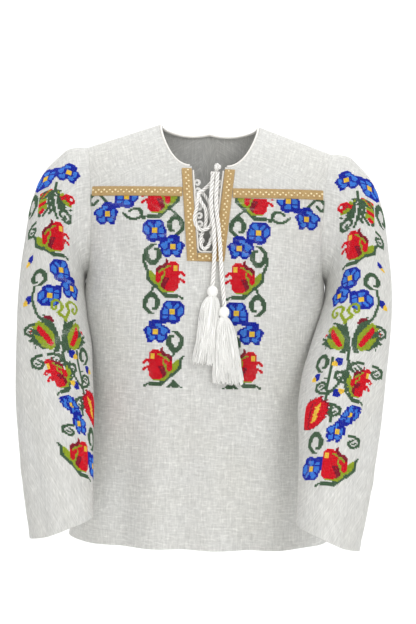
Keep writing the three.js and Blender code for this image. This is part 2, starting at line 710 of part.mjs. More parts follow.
for (const [name, hand] of [["left", 1], ["right", -1]]) {
  const inner = (z) => slitHalf(z) + RIBBON_INSET;
  add(
    `ribbon_slit_${name}`,
    ribbon(12, 2, (down, across) => {
      const z = mix(-78, RIBBON_FOOT, down);
      return [hand * (inner(z) + across * RIBBON.width), z];
    }),
    GOLD,
  );
  add(
    `ribbon_yoke_${name}`,
    ribbon(10, 2, (out, across) => {
      const x = mix(inner(-105) + RIBBON.width + 0.5, 174, out);
      const seam = bodyPoint(front, turnAt(front, x, YOKE_ROW), YOKE_ROW).z;
      return [hand * x, seam + (across - 0.5) * (RIBBON.width - 0.8)];
    }),
    GOLD,
  );
}
add(
  "ribbon_slit_foot",
  ribbon(4, 2, (along, across) => {
    const reach = slitHalf(RIBBON_FOOT) + RIBBON_INSET - SEAM;
    return [mix(-reach, reach, along), mix(SLIT.foot - 1.2, RIBBON_FOOT, across)];
  }),
  GOLD,
);

for (const [name, hand] of [["left", 1], ["right", -1]]) {
  for (let loop = 0; loop < LOOP.count; loop++) {
    add(`loop_${name}_${loop + 1}`, loopRing(hand, loop), WHITE_CORD);
  }
}
add("lacing", lacing(), WHITE_CORD);

const knot = new THREE.IcosahedronGeometry(KNOT.radius, 1);
const knotAt = onFront(KNOT.x, KNOT.z, KNOT.lift);
add("tie_knot", knot.translate(knotAt.x, knotAt.y, knotAt.z), WHITE_CORD);
for (const ends of TIES) {
  add(`tie_${ends.name}`, tie(ends), WHITE_CORD);
  add(`tassel_head_${ends.name}`, tasselHead(ends), WHITE_CORD);
  add(`tassel_skirt_${ends.name}`, tasselSkirt(ends), WHITE_CORD);
}

export default blouse;
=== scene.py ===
"""A Romanian blouse (ie) as worn.

Linen body and sleeves, gold ribbon, a laced neck slit with tasselled ties, and cross stitch. Sizes are in
millimetres, as in the part's own source, and become metres where a mesh is made.
"""
import math

import bpy
import numpy as np
from mathutils import Matrix, Vector


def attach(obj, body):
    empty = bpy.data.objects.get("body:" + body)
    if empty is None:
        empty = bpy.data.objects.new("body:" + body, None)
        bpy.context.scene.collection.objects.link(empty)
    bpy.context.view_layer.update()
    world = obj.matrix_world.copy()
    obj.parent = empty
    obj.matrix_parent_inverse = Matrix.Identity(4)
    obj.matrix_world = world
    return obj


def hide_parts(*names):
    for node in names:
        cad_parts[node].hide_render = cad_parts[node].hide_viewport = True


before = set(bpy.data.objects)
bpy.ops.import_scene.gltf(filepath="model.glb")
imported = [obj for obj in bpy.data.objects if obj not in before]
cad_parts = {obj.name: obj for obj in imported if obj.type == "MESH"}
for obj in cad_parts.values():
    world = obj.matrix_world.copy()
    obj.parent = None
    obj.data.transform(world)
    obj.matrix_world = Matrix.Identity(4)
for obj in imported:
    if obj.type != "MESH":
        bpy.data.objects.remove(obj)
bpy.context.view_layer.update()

MM = 0.001
RNG = np.random.default_rng(7)

# ---- sizes -------------------------------------------------------------------------------------------
# The cloth's thickness, the gap in a seam, and the radius of the slit's and the neck's rolled edges.
CLOTH, SEAM, PIPING, NECK_ROLL = 1.2, 0.04, 1.3, 2.0
RIBBON = dict(width=14.5, thick=1.0)
# The slit's half width at its foot and at a mark above it; it goes on widening evenly.
SLIT = dict(foot=-205, foot_half=12.7, mark_height=-120, mark_half=20.5)
LOOP = dict(top=-98, pitch=12.6, count=8, inset=6.4, behind=2.9)
HANDS = (("left", 1), ("right", -1))

# The body's rows are numbered from the shoulder seam down. ACROSS says how a row's height runs to its side.
YOKE_ROW, UNDERARM_ROW, LAST_ROW = 3, 6, 12
YOKE_GAP = 0.0026
HEM = -640
ACROSS = 2.3
NECK = dict(half=78, front_row=2.25, back_row=1.3)
# Across and height of the armhole's ends, then how deep it goes to the front and back and how far in.
ARMHOLE = dict(shoulder=(192, -42), underarm=(184, -238), front=(60, 12), back=(56, 8))

# A row's side is on the armhole (arm, in degrees round it) or below it (half width and height z).
SIDES = dict(
    arm=[0, 30, 55, 77, 110, 145, 180],
    half=[184, 187, 180, 176, 181, 190, 200],
    z=[-238, -285, -345, -415, -490, -565, -640],
    round=[1.2, 1.2, 1.2, 1.25, 1.4, 1.8, 2.2, 2.3, 2.3, 2.3, 2.3, 2.3, 2.3],
)
# Height on the centre line and depth of each row. Folds: place across at the hem, drift per mm of height,
# half breadth, rise, and the height where they die out.
FRONT = dict(
    SIDES,
    way=-1,
    centre=[25, -8, -58, -113, -175, -217, -240, -285, -345, -415, -490, -565, -640],
    depth=[0, 40, 69, 88, 104, 112, 116, 119, 116, 112, 116, 123, 128],
    folds=[
        (-158, 0.05, 20, 7, -330), (-112, 0.04, 17, -6, -350), (-66, 0.02, 22, 8, -300),
        (-22, 0.0, 16, -5, -270), (24, -0.01, 21, 7, -320), (74, -0.03, 18, -7, -290),
        (118, -0.05, 20, 8, -340), (163, -0.06, 17, -5, -380),
    ],
)
BACK = dict(
    SIDES,
    way=1,
    centre=[25, 4, -44, -108, -172, -216, -240, -285, -345, -415, -490, -565, -640],
    depth=[0, 42, 70, 88, 99, 102, 102, 99, 92, 90, 102, 114, 119],
    folds=[
        (-150, 0.05, 21, 8, -300), (-98, 0.03, 18, -6, -250), (-45, 0.02, 22, 7, -180),
        (8, 0.0, 19, -7, -160), (60, -0.02, 23, 8, -200), (112, -0.04, 18, -6, -270),
        (158, -0.05, 20, 7, -330),
    ],
)

# Sleeve sections after the armhole: inner point, outer point, half depth.
LEFT_SLEEVE = [
    ((187, -3, -244), (224, -3, -50), 65), ((187, -13, -252), (250, -9, -80), 66),
    ((185, -28, -264), (267, -18, -130), 66), ((180, -52, -282), (274, -34, -194), 65),
    ((172, -79, -308), (276, -56, -258), 65), ((160, -103, -342), (273, -80, -318), 66),
    ((147, -124, -382), (268, -106, -374), 66), ((141, -145, -424), (261, -131, -428), 64),
    ((141, -166, -466), (253, -157, -478), 61), ((140, -189, -508), (243, -183, -528), 58),
    ((138, -213, -548), (232, -209, -574), 55), ((136, -233, -580), (222, -231, -612), 53),
]
RIGHT_SLEEVE = [
    ((187, -2, -244), (224, -2, -50), 66), ((187, -8, -252), (251, -7, -80), 70),
    ((186, -18, -265), (268, -14, -130), 71), ((181, -32, -284), (276, -24, -194), 70),
    ((178, -48, -312), (280, -38, -258), 69), ((170, -64, -346), (281, -56, -318), 68),
    ((165, -82, -386), (279, -76, -374), 66), ((161, -102, -428), (274, -98, -428), 64),
    ((158, -124, -470), (266, -122, -480), 61), ((155, -148, -512), (256, -148, -530), 58),
    ((152, -172, -552), (245, -174, -576), 55), ((149, -194, -584), (235, -197, -614), 53),
]
# Folds down a sleeve: degrees from the outer point by the front, twist per section, half breadth, rise, and
# the sections where they begin and end.
SLEEVE_FOLDS = [
    (20, 4, 15, 4, 1, 9), (135, -4, 14, 4, 4, 9), (200, 3, 15, -4, 1, 10), (255, 3, 14, 4, 2, 11),
    (320, -3, 16, 5, 1, 12), (60, 1, 13, -3, 7, 13), (110, 1, 12, 3, 8, 13),
]
# One degree round a sleeve and one section down it are about this much cloth.
PER_DEGREE, PER_SECTION = 1.15, 47

# Small soft creases of the front, each from one place to another (x and height), with half breadth and rise.
FRONT_CREASES = [
    ((-150, -128), (-96, -226), 9, 2.6), ((-163, -150), (-118, -262), 7, -1.8),
    ((-39, -139), (-82, -128), 4, 1.7), ((-37, -151), (-76, -157), 4, 1.5),
    ((-36, -163), (-68, -181), 4, -1.3), ((33, -176), (86, -206), 5, 2.0),
    ((32, -190), (78, -226), 5, -1.6), ((37, -140), (74, -132), 4, 1.4),
    ((150, -150), (131, -322), 11, -2.4), ((163, -206), (118, -300), 8, 2.2),
    ((-166, -236), (-128, -330), 9, 2.0), ((-4, -262), (3, -470), 12, -1.6),
    ((-92, -300), (-70, -452), 11, 1.4), ((96, -330), (70, -500), 12, 1.5),
    ((-132, -400), (-96, -372), 6, -1.3), ((136, -418), (104, -384), 7, -1.4),
    ((-150, -143), (-106, -160), 8, 2.8), ((-114, -150), (-94, -236), 7, 3.2),
    ((148, -148), (106, -163), 8, 2.8), ((113, -153), (95, -240), 7, 3.2),
]
BACK_CREASES = [
    ((-158, -150), (-118, -260), 10, 2.2), ((150, -140), (112, -276), 9, 2.4),
    ((-60, -120), (-40, -260), 14, -1.6), ((52, -112), (30, -240), 13, 1.5),
    ((-150, -388), (-70, -404), 7, -1.5), ((148, -396), (62, -420), 7, -1.6),
    ((-120, -430), (-40, -424), 7, 1.4), ((126, -352), (60, -374), 6, 1.3),
    ((4, -300), (0, -430), 12, -1.8),
]
# And of the sleeves: degrees round and section at each end, half breadth in mm, rise.
SLEEVE_CREASES = [
    ((50, 0.7), (70, 2.4), 8, 1.8), ((95, 0.6), (110, 2.6), 7, -1.6), ((8, 0.8), (-6, 3.0), 9, 1.6),
    ((150, 3.4), (84, 4.6), 7, -1.5), ((160, 4.4), (100, 5.7), 8, 1.9), ((165, 5.4), (96, 6.3), 7, -1.8),
    ((150, 6.4), (60, 6.9), 7, 1.6), ((30, 8.2), (90, 9.4), 8, -1.5), ((12, 9.8), (70, 10.4), 7, 1.5),
    ((230, 2.2), (205, 5.0), 9, 1.8), ((250, 5.6), (196, 6.4), 8, -1.9), ((300, 6.0), (236, 7.2), 8, 1.6),
    ((340, 3.0), (300, 5.2), 9, -1.6), ((280, 9.0), (330, 10.2), 8, 1.5),
    ((140, 9.4), (180, 10.8), 7, -1.4),
]


# ---- the forms ---------------------------------------------------------------------------------------
def along(values, at):
    """A smooth curve through a list of numbers, read at fractional places."""
    values, at = np.asarray(values, float), np.asarray(at, float)
    last = len(values) - 1
    i = np.clip(np.floor(at).astype(int), 0, last - 1)
    t = at - i
    b, c = values[i], values[i + 1]
    a = np.where(i > 0, values[np.maximum(i - 1, 0)], 2 * b - c)
    d = np.where(i + 2 <= last, values[np.minimum(i + 2, last)], 2 * c - b)
    return b + 0.5 * t * (c - a + t * (2 * a - 5 * b + 4 * c - d + t * (3 * b - a - 3 * c + d)))


def ramp(v, low, high):
    t = np.clip((v - low) / (high - low), 0, 1)
    return t * t * (3 - 2 * t)


def mix(a, b, t):
    return a + (b - a) * t


def xyz(x, y, z):
    return np.stack(np.broadcast_arrays(x, y, z), -1).astype(float)


def both(*values):
    """Values as arrays of numbers of one shape."""
    return np.broadcast_arrays(*(np.asarray(v, float) for v in values))


def unit(vectors):
    return vectors / np.linalg.norm(vectors, axis=-1, keepdims=True)


def armhole(degrees, way):
    a = np.radians(degrees)
    deep, inset = ARMHOLE["front" if way < 0 else "back"]
    (x_top, z_top), (x_low, z_low) = ARMHOLE["shoulder"], ARMHOLE["underarm"]
    down = (1 - np.cos(a)) / 2
    return xyz(mix(x_top, x_low, down) - inset * np.sin(a), way * deep * np.sin(a), mix(z_top, z_low, down))


def row_end(form, row):
    """Where a row ends: on the armhole, or on the side seam below it."""
    row = np.asarray(row, float)
    upper = armhole(along(form["arm"], np.minimum(row, UNDERARM_ROW)), form["way"])
    below = np.maximum(row - UNDERARM_ROW, 0)
    lower = xyz(along(form["half"], below), 0, along(form["z"], below))
    return np.where((row <= UNDERARM_ROW)[..., None], upper, lower)


def fold_lift(form, x, z):
    lift = 0
    for at, lean, wide, deep, top in form["folds"]:
        lift = lift + deep * ramp(-z, -top, -HEM) * np.exp(-(((x - at - lean * (z - HEM)) / wide) ** 2))
    return lift


def body_point(form, turn, row):
    turn, row = both(turn, row)
    s, c = np.sin(np.radians(turn)), np.maximum(0, np.cos(np.radians(turn)))
    share = np.abs(s) ** (2 / ACROSS)
    end = row_end(form, row)
    x = np.sign(s) * end[..., 0] * share
    z = mix(along(form["centre"], row), end[..., 2], share)
    start = np.abs(end[..., 1])
    y = start + (along(form["depth"], row) - start) * c ** (2 / along(form["round"], row))
    lift = fold_lift(form, x, z) * c**0.5
    return xyz(x, form["way"] * (y + lift + SEAM / 2), z)


def turn_at(form, x, row):
    share = np.clip(np.abs(x) / row_end(form, row)[..., 0], 0, 1)
    return np.sign(x) * np.degrees(np.arcsin(share ** (ACROSS / 2)))


def row_at(form, x, z):
    """The row that passes through a height at x, found by halving."""
    x, z = both(x, z)
    low, high = np.zeros(x.shape), np.full(x.shape, float(LAST_ROW))
    for _ in range(26):
        row = (low + high) / 2
        above = body_point(form, turn_at(form, x, row), row)[..., 2] > z
        low, high = np.where(above, row, low), np.where(above, high, row)
    return (low + high) / 2


def lifted(surface, u, v, lift, limits, outward):
    """Points of a surface moved along its normal, which is taken over a little way each side."""
    du, dv = 2, 0.03
    (u0, u1), (v0, v1) = limits
    across = surface(np.minimum(u + du, u1), v) - surface(np.maximum(u - du, u0), v)
    down = surface(u, np.minimum(v + dv, v1)) - surface(u, np.maximum(v - dv, v0))
    return surface(u, v) + unit(np.cross(across, down)) * outward * np.asarray(lift)[..., None]


def crease_lift(creases, u, v):
    """The rise of soft tapering creases at places u, v on a flat plane, in mm."""
    lift = 0
    for (u0, v0), (u1, v1), wide, deep in creases:
        du, dv = u1 - u0, v1 - v0
        t = ((u - u0) * du + (v - v0) * dv) / (du * du + dv * dv)
        bow = 0.1 * math.hypot(du, dv) * np.sin(np.pi * np.clip(t, 0, 1))
        off = ((u - u0) * dv - (v - v0) * du) / math.hypot(du, dv) + bow
        alive = ramp(t, -0.15, 0.3) * (1 - ramp(t, 0.6, 1.15))
        lift = lift + deep * alive * np.exp(-((off / wide) ** 2))
    return lift


def handle(u, v):
    """The slight unevenness of washed and ironed linen."""
    slow = np.sin(u / 31 + 1.3 * np.sin(v / 47)) * np.sin(v / 39 + 0.8 + np.sin(u / 53))
    quick = np.sin(u / 11.3 + 2 * np.sin(v / 17)) * np.sin(v / 13.7 + 1.7 * np.sin(u / 23))
    return 0.55 * slow + 0.16 * quick


def on_body(form, turn, row, lift):
    """A point of a body panel, lifted off its middle. No face crosses a side seam or the armhole's plane."""
    turn, row = both(turn, row)
    surface = lambda u, v: body_point(form, u, v)
    flat = surface(turn, row)
    x, z = flat[..., 0], flat[..., 2]
    calm = np.cos(np.radians(turn)) ** 0.5 * ramp(row, 0, 0.8)
    creases = FRONT_CREASES if form is FRONT else BACK_CREASES
    soft = (crease_lift(creases, x, z) + handle(x, z)) * calm
    p = lifted(surface, turn, row, lift + soft, ((-90, 90), (0, LAST_ROW)), form["way"])
    p[..., 1] = form["way"] * np.maximum(form["way"] * p[..., 1], SEAM / 2)
    reach = row_end(form, row)[..., 0]
    p[..., 0] = np.where(row < UNDERARM_ROW, np.clip(p[..., 0], -reach, reach), p[..., 0])
    return p


def on_front(x, z, lift=0.0):
    x, z = both(x, z)
    row = row_at(FRONT, x, z)
    return on_body(FRONT, turn_at(FRONT, x, row), row, lift)


def slit_half(z):
    slope = (SLIT["mark_half"] - SLIT["foot_half"]) / (SLIT["mark_height"] - SLIT["foot"])
    return SLIT["foot_half"] + slope * (z - SLIT["foot"])


SLIT_FOOT_ROW = float(row_at(FRONT, 0, SLIT["foot"]))


def inner_edge(form, row):
    """Where the cloth begins beside the centre line: the slit's edge below, the neck hole above."""
    lowest = NECK["front_row"] if form is FRONT else NECK["back_row"]
    slit = slit_half(body_point(FRONT, 0.0, np.maximum(row, lowest))[..., 2]) if form is FRONT else 0.0
    return slit + (NECK["half"] - slit) * np.sqrt(np.clip(1 - (row / lowest) ** 2, 0, 1))


def sleeve_form(table, hand):
    form = dict(hand=hand, deep=[r[2] for r in table], last=len(table))
    for k in range(3):
        form[f"inner{k}"] = [r[0][k] for r in table]
        form[f"outer{k}"] = [r[1][k] for r in table]
    return form


def ring_point(form, turn, row):
    inner = xyz(*(along(form[f"inner{k}"], row) for k in range(3)))
    outer = xyz(*(along(form[f"outer{k}"], row) for k in range(3)))
    middle, across = (inner + outer) / 2, (outer - inner) / 2
    to_back = unit([0, 1, 0] - across * (across[..., 1:2] / (across**2).sum(-1, keepdims=True)))
    a = np.radians(turn)[..., None]
    return middle + across * np.cos(a) - to_back * np.sin(a) * along(form["deep"], row)[..., None]


def sleeve_point(form, turn, row):
    """A point of a sleeve's middle: its first section eases from the armhole into the rings."""
    turn, row = both(np.asarray(turn, float) % 360, row)
    later = ring_point(form, turn, np.maximum(row - 1, 0))
    start = np.where((turn <= 180)[..., None], armhole(turn, -1), armhole(360 - turn, 1))
    start = start + [SEAM + 0.02, 0, 0]
    first = ring_point(form, turn, np.zeros(turn.shape))
    arriving = ring_point(form, turn, np.ones(turn.shape)) - first
    leaving = np.linalg.norm(start - first, axis=-1, keepdims=True) * np.array([0.9, 0, 0])
    t = np.clip(row, 0, 1)[..., None]
    far = 3 * t**2 - 2 * t**3
    sewn = first * far + start * (1 - far) + leaving * (t - 2 * t**2 + t**3) + arriving * (t**3 - t**2)
    p = np.where((row < 1)[..., None], sewn, later)
    return p * [form["hand"], 1, 1]


def sleeve_lift(turn, row):
    lift = 0
    for middle, twist, wide, deep, first, last in SLEEVE_FOLDS:
        off = (turn - middle - twist * (row - first)) % 360
        off = (off + 180) % 360 - 180
        alive = ramp(row, first, first + 2) * (1 - ramp(row, last - 1.5, last + 0.5))
        lift = lift + deep * alive * np.exp(-((off / wide) ** 2))
    flat = [
        (*((u * PER_DEGREE, v * PER_SECTION) for u, v in ends), wide, deep)
        for *ends, wide, deep in SLEEVE_CREASES
    ]
    for shift in (-360, 0, 360):
        lift = lift + crease_lift(flat, (turn + shift) * PER_DEGREE, row * PER_SECTION)
    across, along_it = 70 * np.sin(np.radians(turn)), 70 * np.cos(np.radians(turn))
    return lift + handle(across, row * PER_SECTION + along_it) * ramp(row, 0, 0.6)


def on_sleeve(form, turn, row, lift):
    turn, row = both(turn, row)
    surface = lambda u, v: sleeve_point(form, u, v)
    limits = ((-math.inf, math.inf), (0, form["last"]))
    p = lifted(surface, turn, row, sleeve_lift(turn % 360, row) + lift, limits, form["hand"])
    p[..., 0] = np.where(row == 0, surface(turn, row)[..., 0], p[..., 0])
    return p


# ---- the camera --------------------------------------------------------------------------------------
def place_camera():
    """A level camera in front of the chest, rolled by a degree or two."""
    data = bpy.data.cameras.new("camera")
    data.sensor_width, data.sensor_height, data.sensor_fit = 36, 54, "HORIZONTAL"
    data.lens = 106
    camera = bpy.data.objects.new("camera", data)
    bpy.context.collection.objects.link(camera)
    level = Matrix.Translation((0.0055, -1.915, -0.292)) @ Matrix.Rotation(math.radians(90), 4, "X")
    camera.matrix_world = level @ Matrix.Rotation(math.radians(1.6), 4, "Z")
    bpy.context.scene.camera = camera


place_camera()


# ---- meshes ------------------------------------------------------------------------------------------
def new_object(name, mesh):
    piece = bpy.data.objects.new(name, mesh)
    bpy.context.collection.objects.link(piece)
    return piece


def add_uv(mesh, name, per_loop):
    mesh.uv_layers.new(name=name).data.foreach_set("uv", np.asarray(per_loop, np.float32).ravel())


def add_attribute(mesh, name, kind, values, key="vector"):
    layer = mesh.attributes.new(name, kind, "POINT")
    layer.data.foreach_set(key, np.asarray(values, np.float32).ravel())


def mesh_of(name, points, faces, sharp_over=None):
    """A smooth mesh in metres from points in mm."""
    mesh = bpy.data.meshes.new(name)
    mesh.from_pydata((np.asarray(points, float) * MM).tolist(), [], [tuple(map(int, f)) for f in faces])
    mesh.polygons.foreach_set("use_smooth", [True] * len(mesh.polygons))
    if sharp_over:
        mesh.set_sharp_from_angle(angle=math.radians(sharp_over))
    return mesh


# Where the map for baking has the outer and the inner face, and the strips of cells on the edges below them.
FACES = dict(left=(0.01, 0.52), wide=0.46, foot=0.04, high=0.95)
STRIPS = dict(foot=0.002, step=0.009, high=0.007)


def grid_wall(name, outer, inner, cloth_uv, there=None, ring=False):
    """A closed wall between two grids of points, with the cloth's own measure as the UV map "Weave".

    there(i, k) says which cells are cloth; a ring joins its last column to its first. The map "OFBake" lays
    the outer face, the inner face and the edges side by side.
    """
    wide = outer.shape[1]
    rows, columns = outer.shape[0] - 1, wide - (0 if ring else 1)
    i, k = (n.ravel() for n in np.meshgrid(np.arange(rows), np.arange(columns), indexing="ij"))
    if there is not None:
        i, k = i[there(i, k)], k[there(i, k)]
    cells = np.zeros((rows + 2, columns + 2), bool)
    cells[i + 1, k + 1] = True
    if ring:
        cells[:, 0], cells[:, -1] = cells[:, -2], cells[:, 1]
    faces, bake, weave = [], [], []

    def put(corners, skins, mask, places):
        """corners: four (row step, column step); skins: which face each is on, 0 outer and 1 inner."""
        down, across = np.array(corners).T
        down, across = i[mask][:, None] + down, k[mask][:, None] + across
        faces.append(down * wide + across % wide + outer.shape[0] * wide * np.array(skins))
        weave.append(cloth_uv[down, across])
        bake.append(np.stack(np.broadcast_arrays(*places(down, across)), -1))

    def on_face(left):
        return lambda down, across: (
            left + FACES["wide"] * across / columns, FACES["foot"] + FACES["high"] * down / rows
        )

    def on_strip(number):
        return lambda down, _: (
            (np.arange(len(down))[:, None] + [0, 1, 1, 0]) / len(down),
            STRIPS["foot"] + STRIPS["step"] * number + STRIPS["high"] * np.array([0, 0, 1, 1]),
        )

    square = [(0, 0), (1, 0), (1, 1), (0, 1)]
    put(square, (0, 0, 0, 0), slice(None), on_face(FACES["left"][0]))
    put(square[::-1], (1, 1, 1, 1), slice(None), on_face(FACES["left"][1]))
    sides = [
        ((-1, 0), [(0, 0), (0, 1), (0, 1), (0, 0)]), ((1, 0), [(1, 1), (1, 0), (1, 0), (1, 1)]),
        ((0, -1), [(1, 0), (0, 0), (0, 0), (1, 0)]), ((0, 1), [(0, 1), (1, 1), (1, 1), (0, 1)]),
    ]
    for number, ((dr, dc), corners) in enumerate(sides):
        open_side = ~cells[i + 1 + dr, k + 1 + dc]
        if open_side.any():
            put(corners, (0, 0, 1, 1), open_side, on_strip(number))
    faces, weave, bake = (np.concatenate(x) for x in (faces, weave, bake))
    points = np.concatenate([outer.reshape(-1, 3), inner.reshape(-1, 3)])
    a, b, c, d = (points[faces[:, n]] for n in range(4))
    volume = ((a * np.cross(b, c)).sum() + (a * np.cross(c, d)).sum()) / 6
    if volume < 0:
        faces, weave, bake = faces[:, ::-1], weave[:, ::-1], bake[:, ::-1]
    used, index = np.unique(faces, return_inverse=True)
    mesh = mesh_of(name, points[used], index.reshape(faces.shape), sharp_over=50)
    add_uv(mesh, "Weave", weave)
    add_uv(mesh, "OFBake", bake)
    return new_object(name, mesh)


def run_lengths(points):
    """Distance run along a list of points, from 0."""
    steps = np.linalg.norm(np.diff(points, axis=0), axis=-1)
    return np.concatenate([[0], np.cumsum(steps)])


def smooth_route(points, count):
    """A Catmull-Rom curve through points, at even places."""
    points = np.asarray(points, float)
    at = np.linspace(0, len(points) - 1, count + 1)
    curve = np.stack([along(points[:, k], at) for k in range(3)], -1)
    run = run_lengths(curve)
    even = np.linspace(0, run[-1], count + 1)
    return np.stack([np.interp(even, run, curve[:, k]) for k in range(3)], -1)


# ---- node trees, written as expressions --------------------------------------------------------------
def math_node(operation):
    """A method that adds one Math node to the value it is called on."""
    return lambda flow, *others: flow.math(operation, *others)


class Flow:
    """One value that runs through a node tree; Python's own operators add its Math nodes."""

    def __init__(self, board, socket):
        self.board, self.socket = board, socket

    def of(self, name):
        """Another output of the same node."""
        return Flow(self.board, self.socket.node.outputs[name])

    def math(self, operation, *others):
        return self.board.add("ShaderNodeMath", dict(enumerate((self, *others))), operation=operation)

    __add__ = __radd__ = math_node("ADD")
    __mul__ = __rmul__ = math_node("MULTIPLY")
    __sub__, __truediv__ = math_node("SUBTRACT"), math_node("DIVIDE")
    sine, cosine = math_node("SINE"), math_node("COSINE")

    def __rsub__(self, other):
        return self.board.add("ShaderNodeMath", {0: other, 1: self}, operation="SUBTRACT")

    def above(self, edge, soft):
        """0 below edge, 1 above it, over a soft width."""
        limits = {"Value": self, "From Min": edge - soft / 2, "From Max": edge + soft / 2}
        return self.board.add("ShaderNodeMapRange", limits, interpolation_type="SMOOTHSTEP")


class Board:
    """A node tree being built: add() makes any node, with its settings, and its values and links."""

    def __init__(self, tree):
        self.tree = tree

    def add(self, kind, values=None, output=None, **settings):
        node = self.tree.nodes.new(kind)
        for name, value in settings.items():
            setattr(node, name, value)
        for name, value in (values or {}).items():
            if isinstance(value, Flow):
                self.tree.links.new(value.socket, node.inputs[name])
            else:
                node.inputs[name].default_value = value
        outputs = [o for o in node.outputs if o.enabled]
        return Flow(self, node.outputs[output] if output is not None else outputs[0]) if outputs else node

    def vector(self, operation, *values):
        return self.add("ShaderNodeVectorMath", dict(enumerate(values)), operation=operation)

    def scaled(self, vector, scale):
        return self.add("ShaderNodeVectorMath", {"Vector": vector, "Scale": scale}, operation="SCALE")

    def joined(self, x, y, z):
        return self.add("ShaderNodeCombineXYZ", {0: x, 1: y, 2: z})


class Finish(Board):
    """A material: a Principled surface and what feeds it."""

    def __init__(self, name, **constants):
        self.material = bpy.data.materials.new(name)
        self.material.use_nodes = True
        super().__init__(self.material.node_tree)
        self.surface = self.tree.nodes["Principled BSDF"]
        for key, value in constants.items():
            self.surface.inputs[key.replace("_", " ")].default_value = value

    def feed(self, name, flow):
        self.tree.links.new(flow.socket, self.surface.inputs[name])

    def colours(self, factor, a, b, blend="MIX"):
        return self.add("ShaderNodeMix", {0: factor, 6: a, 7: b}, 2, data_type="RGBA", blend_type=blend)

    def attribute(self, name, output="Fac"):
        return self.add("ShaderNodeAttribute", {}, output, attribute_name=name)

    def uv(self, name):
        return self.add("ShaderNodeUVMap", uv_map=name)

    def place(self):
        return self.add("ShaderNodeTexCoord", {}, "Object")

    def noise(self, vector, scale, detail, rough=0.5):
        sizes = {"Vector": vector, "Scale": scale, "Detail": detail, "Roughness": rough}
        return self.add("ShaderNodeTexNoise", sizes, 0)

    def grain(self, vector, stretch, detail, rough=0.5):
        """Noise that is finer by three factors."""
        return self.noise(self.vector("MULTIPLY", vector, stretch), 1.0, detail, rough)

    def waves(self, vector, across, down):
        """Sine waves across and down a map, each with its own pitch in metres."""
        turns = self.vector("MULTIPLY", vector, (math.tau / across, math.tau / down, 0.0))
        parts = self.add("ShaderNodeSeparateXYZ", {0: turns}, "X")
        return parts.sine(), parts.of("Y").sine()

    def shaded(self, base, tone):
        """A colour made darker or lighter by a tone."""
        return self.colours(1.0, base, self.joined(tone, tone, tone), "MULTIPLY")

    def relief(self, height, distance, strength):
        sizes = {"Strength": strength, "Distance": distance, "Height": height}
        self.feed("Normal", self.add("ShaderNodeBump", sizes))


class Shaping(Board):
    """A Geometry Nodes tree with named inputs, run on a piece of base geometry."""

    TYPES = {
        float: "NodeSocketFloat", int: "NodeSocketInt", bpy.types.Material: "NodeSocketMaterial",
        bpy.types.Object: "NodeSocketObject",
    }

    def __init__(self, name, **inputs):
        super().__init__(bpy.data.node_groups.new(name, "GeometryNodeTree"))
        for way in ("OUTPUT", "INPUT"):
            self.tree.interface.new_socket("Geometry", in_out=way, socket_type="NodeSocketGeometry")
        for key, kind in {**inputs, "Finish": bpy.types.Material}.items():
            self.tree.interface.new_socket(key, in_out="INPUT", socket_type=self.TYPES[kind])
        self.entry = self.tree.nodes.new("NodeGroupInput")

    def given(self, name):
        return Flow(self, self.entry.outputs[name])

    def along(self, measure):
        """How far along its curve each point is, as a "Length" or a "Factor"."""
        return self.add("GeometryNodeSplineParameter", {}, measure)

    def read(self, name):
        """A vector that the base geometry carries."""
        return self.add("GeometryNodeInputNamedAttribute", {"Name": name}, 0, data_type="FLOAT_VECTOR")

    def stored(self, geometry, name, value):
        values = {"Geometry": geometry, "Name": name, "Value": value}
        return self.add("GeometryNodeStoreNamedAttribute", values, data_type="FLOAT", domain="POINT")

    def tubes(self, lines, thick):
        """Thin tubes along lines, with the way along them stored as "run" and round them as "turn"."""
        lines = self.stored(lines, "run", self.along("Length"))
        sizes = {"Resolution": self.given("Sides"), "Radius": self.given(thick)}
        circle = self.add("GeometryNodeCurvePrimitiveCircle", sizes)
        ring = self.stored(circle, "turn", self.along("Factor"))
        values = {"Curve": lines, "Profile Curve": ring, "Fill Caps": True}
        return self.add("GeometryNodeCurveToMesh", values)

    def closed(self, shape):
        """Ends the tree: every instance is made real and gets the finish."""
        real = self.add("GeometryNodeRealizeInstances", {0: shape})
        soft = self.add("GeometryNodeSetShadeSmooth", {"Geometry": real, "Shade Smooth": True})
        done = self.add("GeometryNodeSetMaterial", {"Geometry": soft, "Material": self.given("Finish")})
        self.tree.links.new(done.socket, self.tree.nodes.new("NodeGroupOutput").inputs[0])
        return self

    def run(self, name, base, **values):
        """A new plain object from base, which is a mesh in metres."""
        source = new_object(name + "_base", base)
        step = source.modifiers.new("shape", "NODES")
        step.node_group = self.tree
        sockets = {s.name: s.identifier for s in self.tree.interface.items_tree if s.in_out == "INPUT"}
        for key, value in values.items():
            step[sockets[key]] = value
        source.update_tag()
        seen = source.evaluated_get(bpy.context.evaluated_depsgraph_get())
        mesh = bpy.data.meshes.new_from_object(seen)
        mesh.name = name
        source.modifiers.remove(step)
        bpy.data.objects.remove(source)
        return new_object(name, mesh)


def polyline(name, points, closed=False):
    """A chain of edges for a tree to follow."""
    mesh = bpy.data.meshes.new(name)
    n = len(points)
    edges = [(i, i + 1) for i in range(n - 1)] + ([(n - 1, 0)] if closed else [])
    mesh.from_pydata((np.asarray(points, float) * MM).tolist(), edges, [])
    return mesh


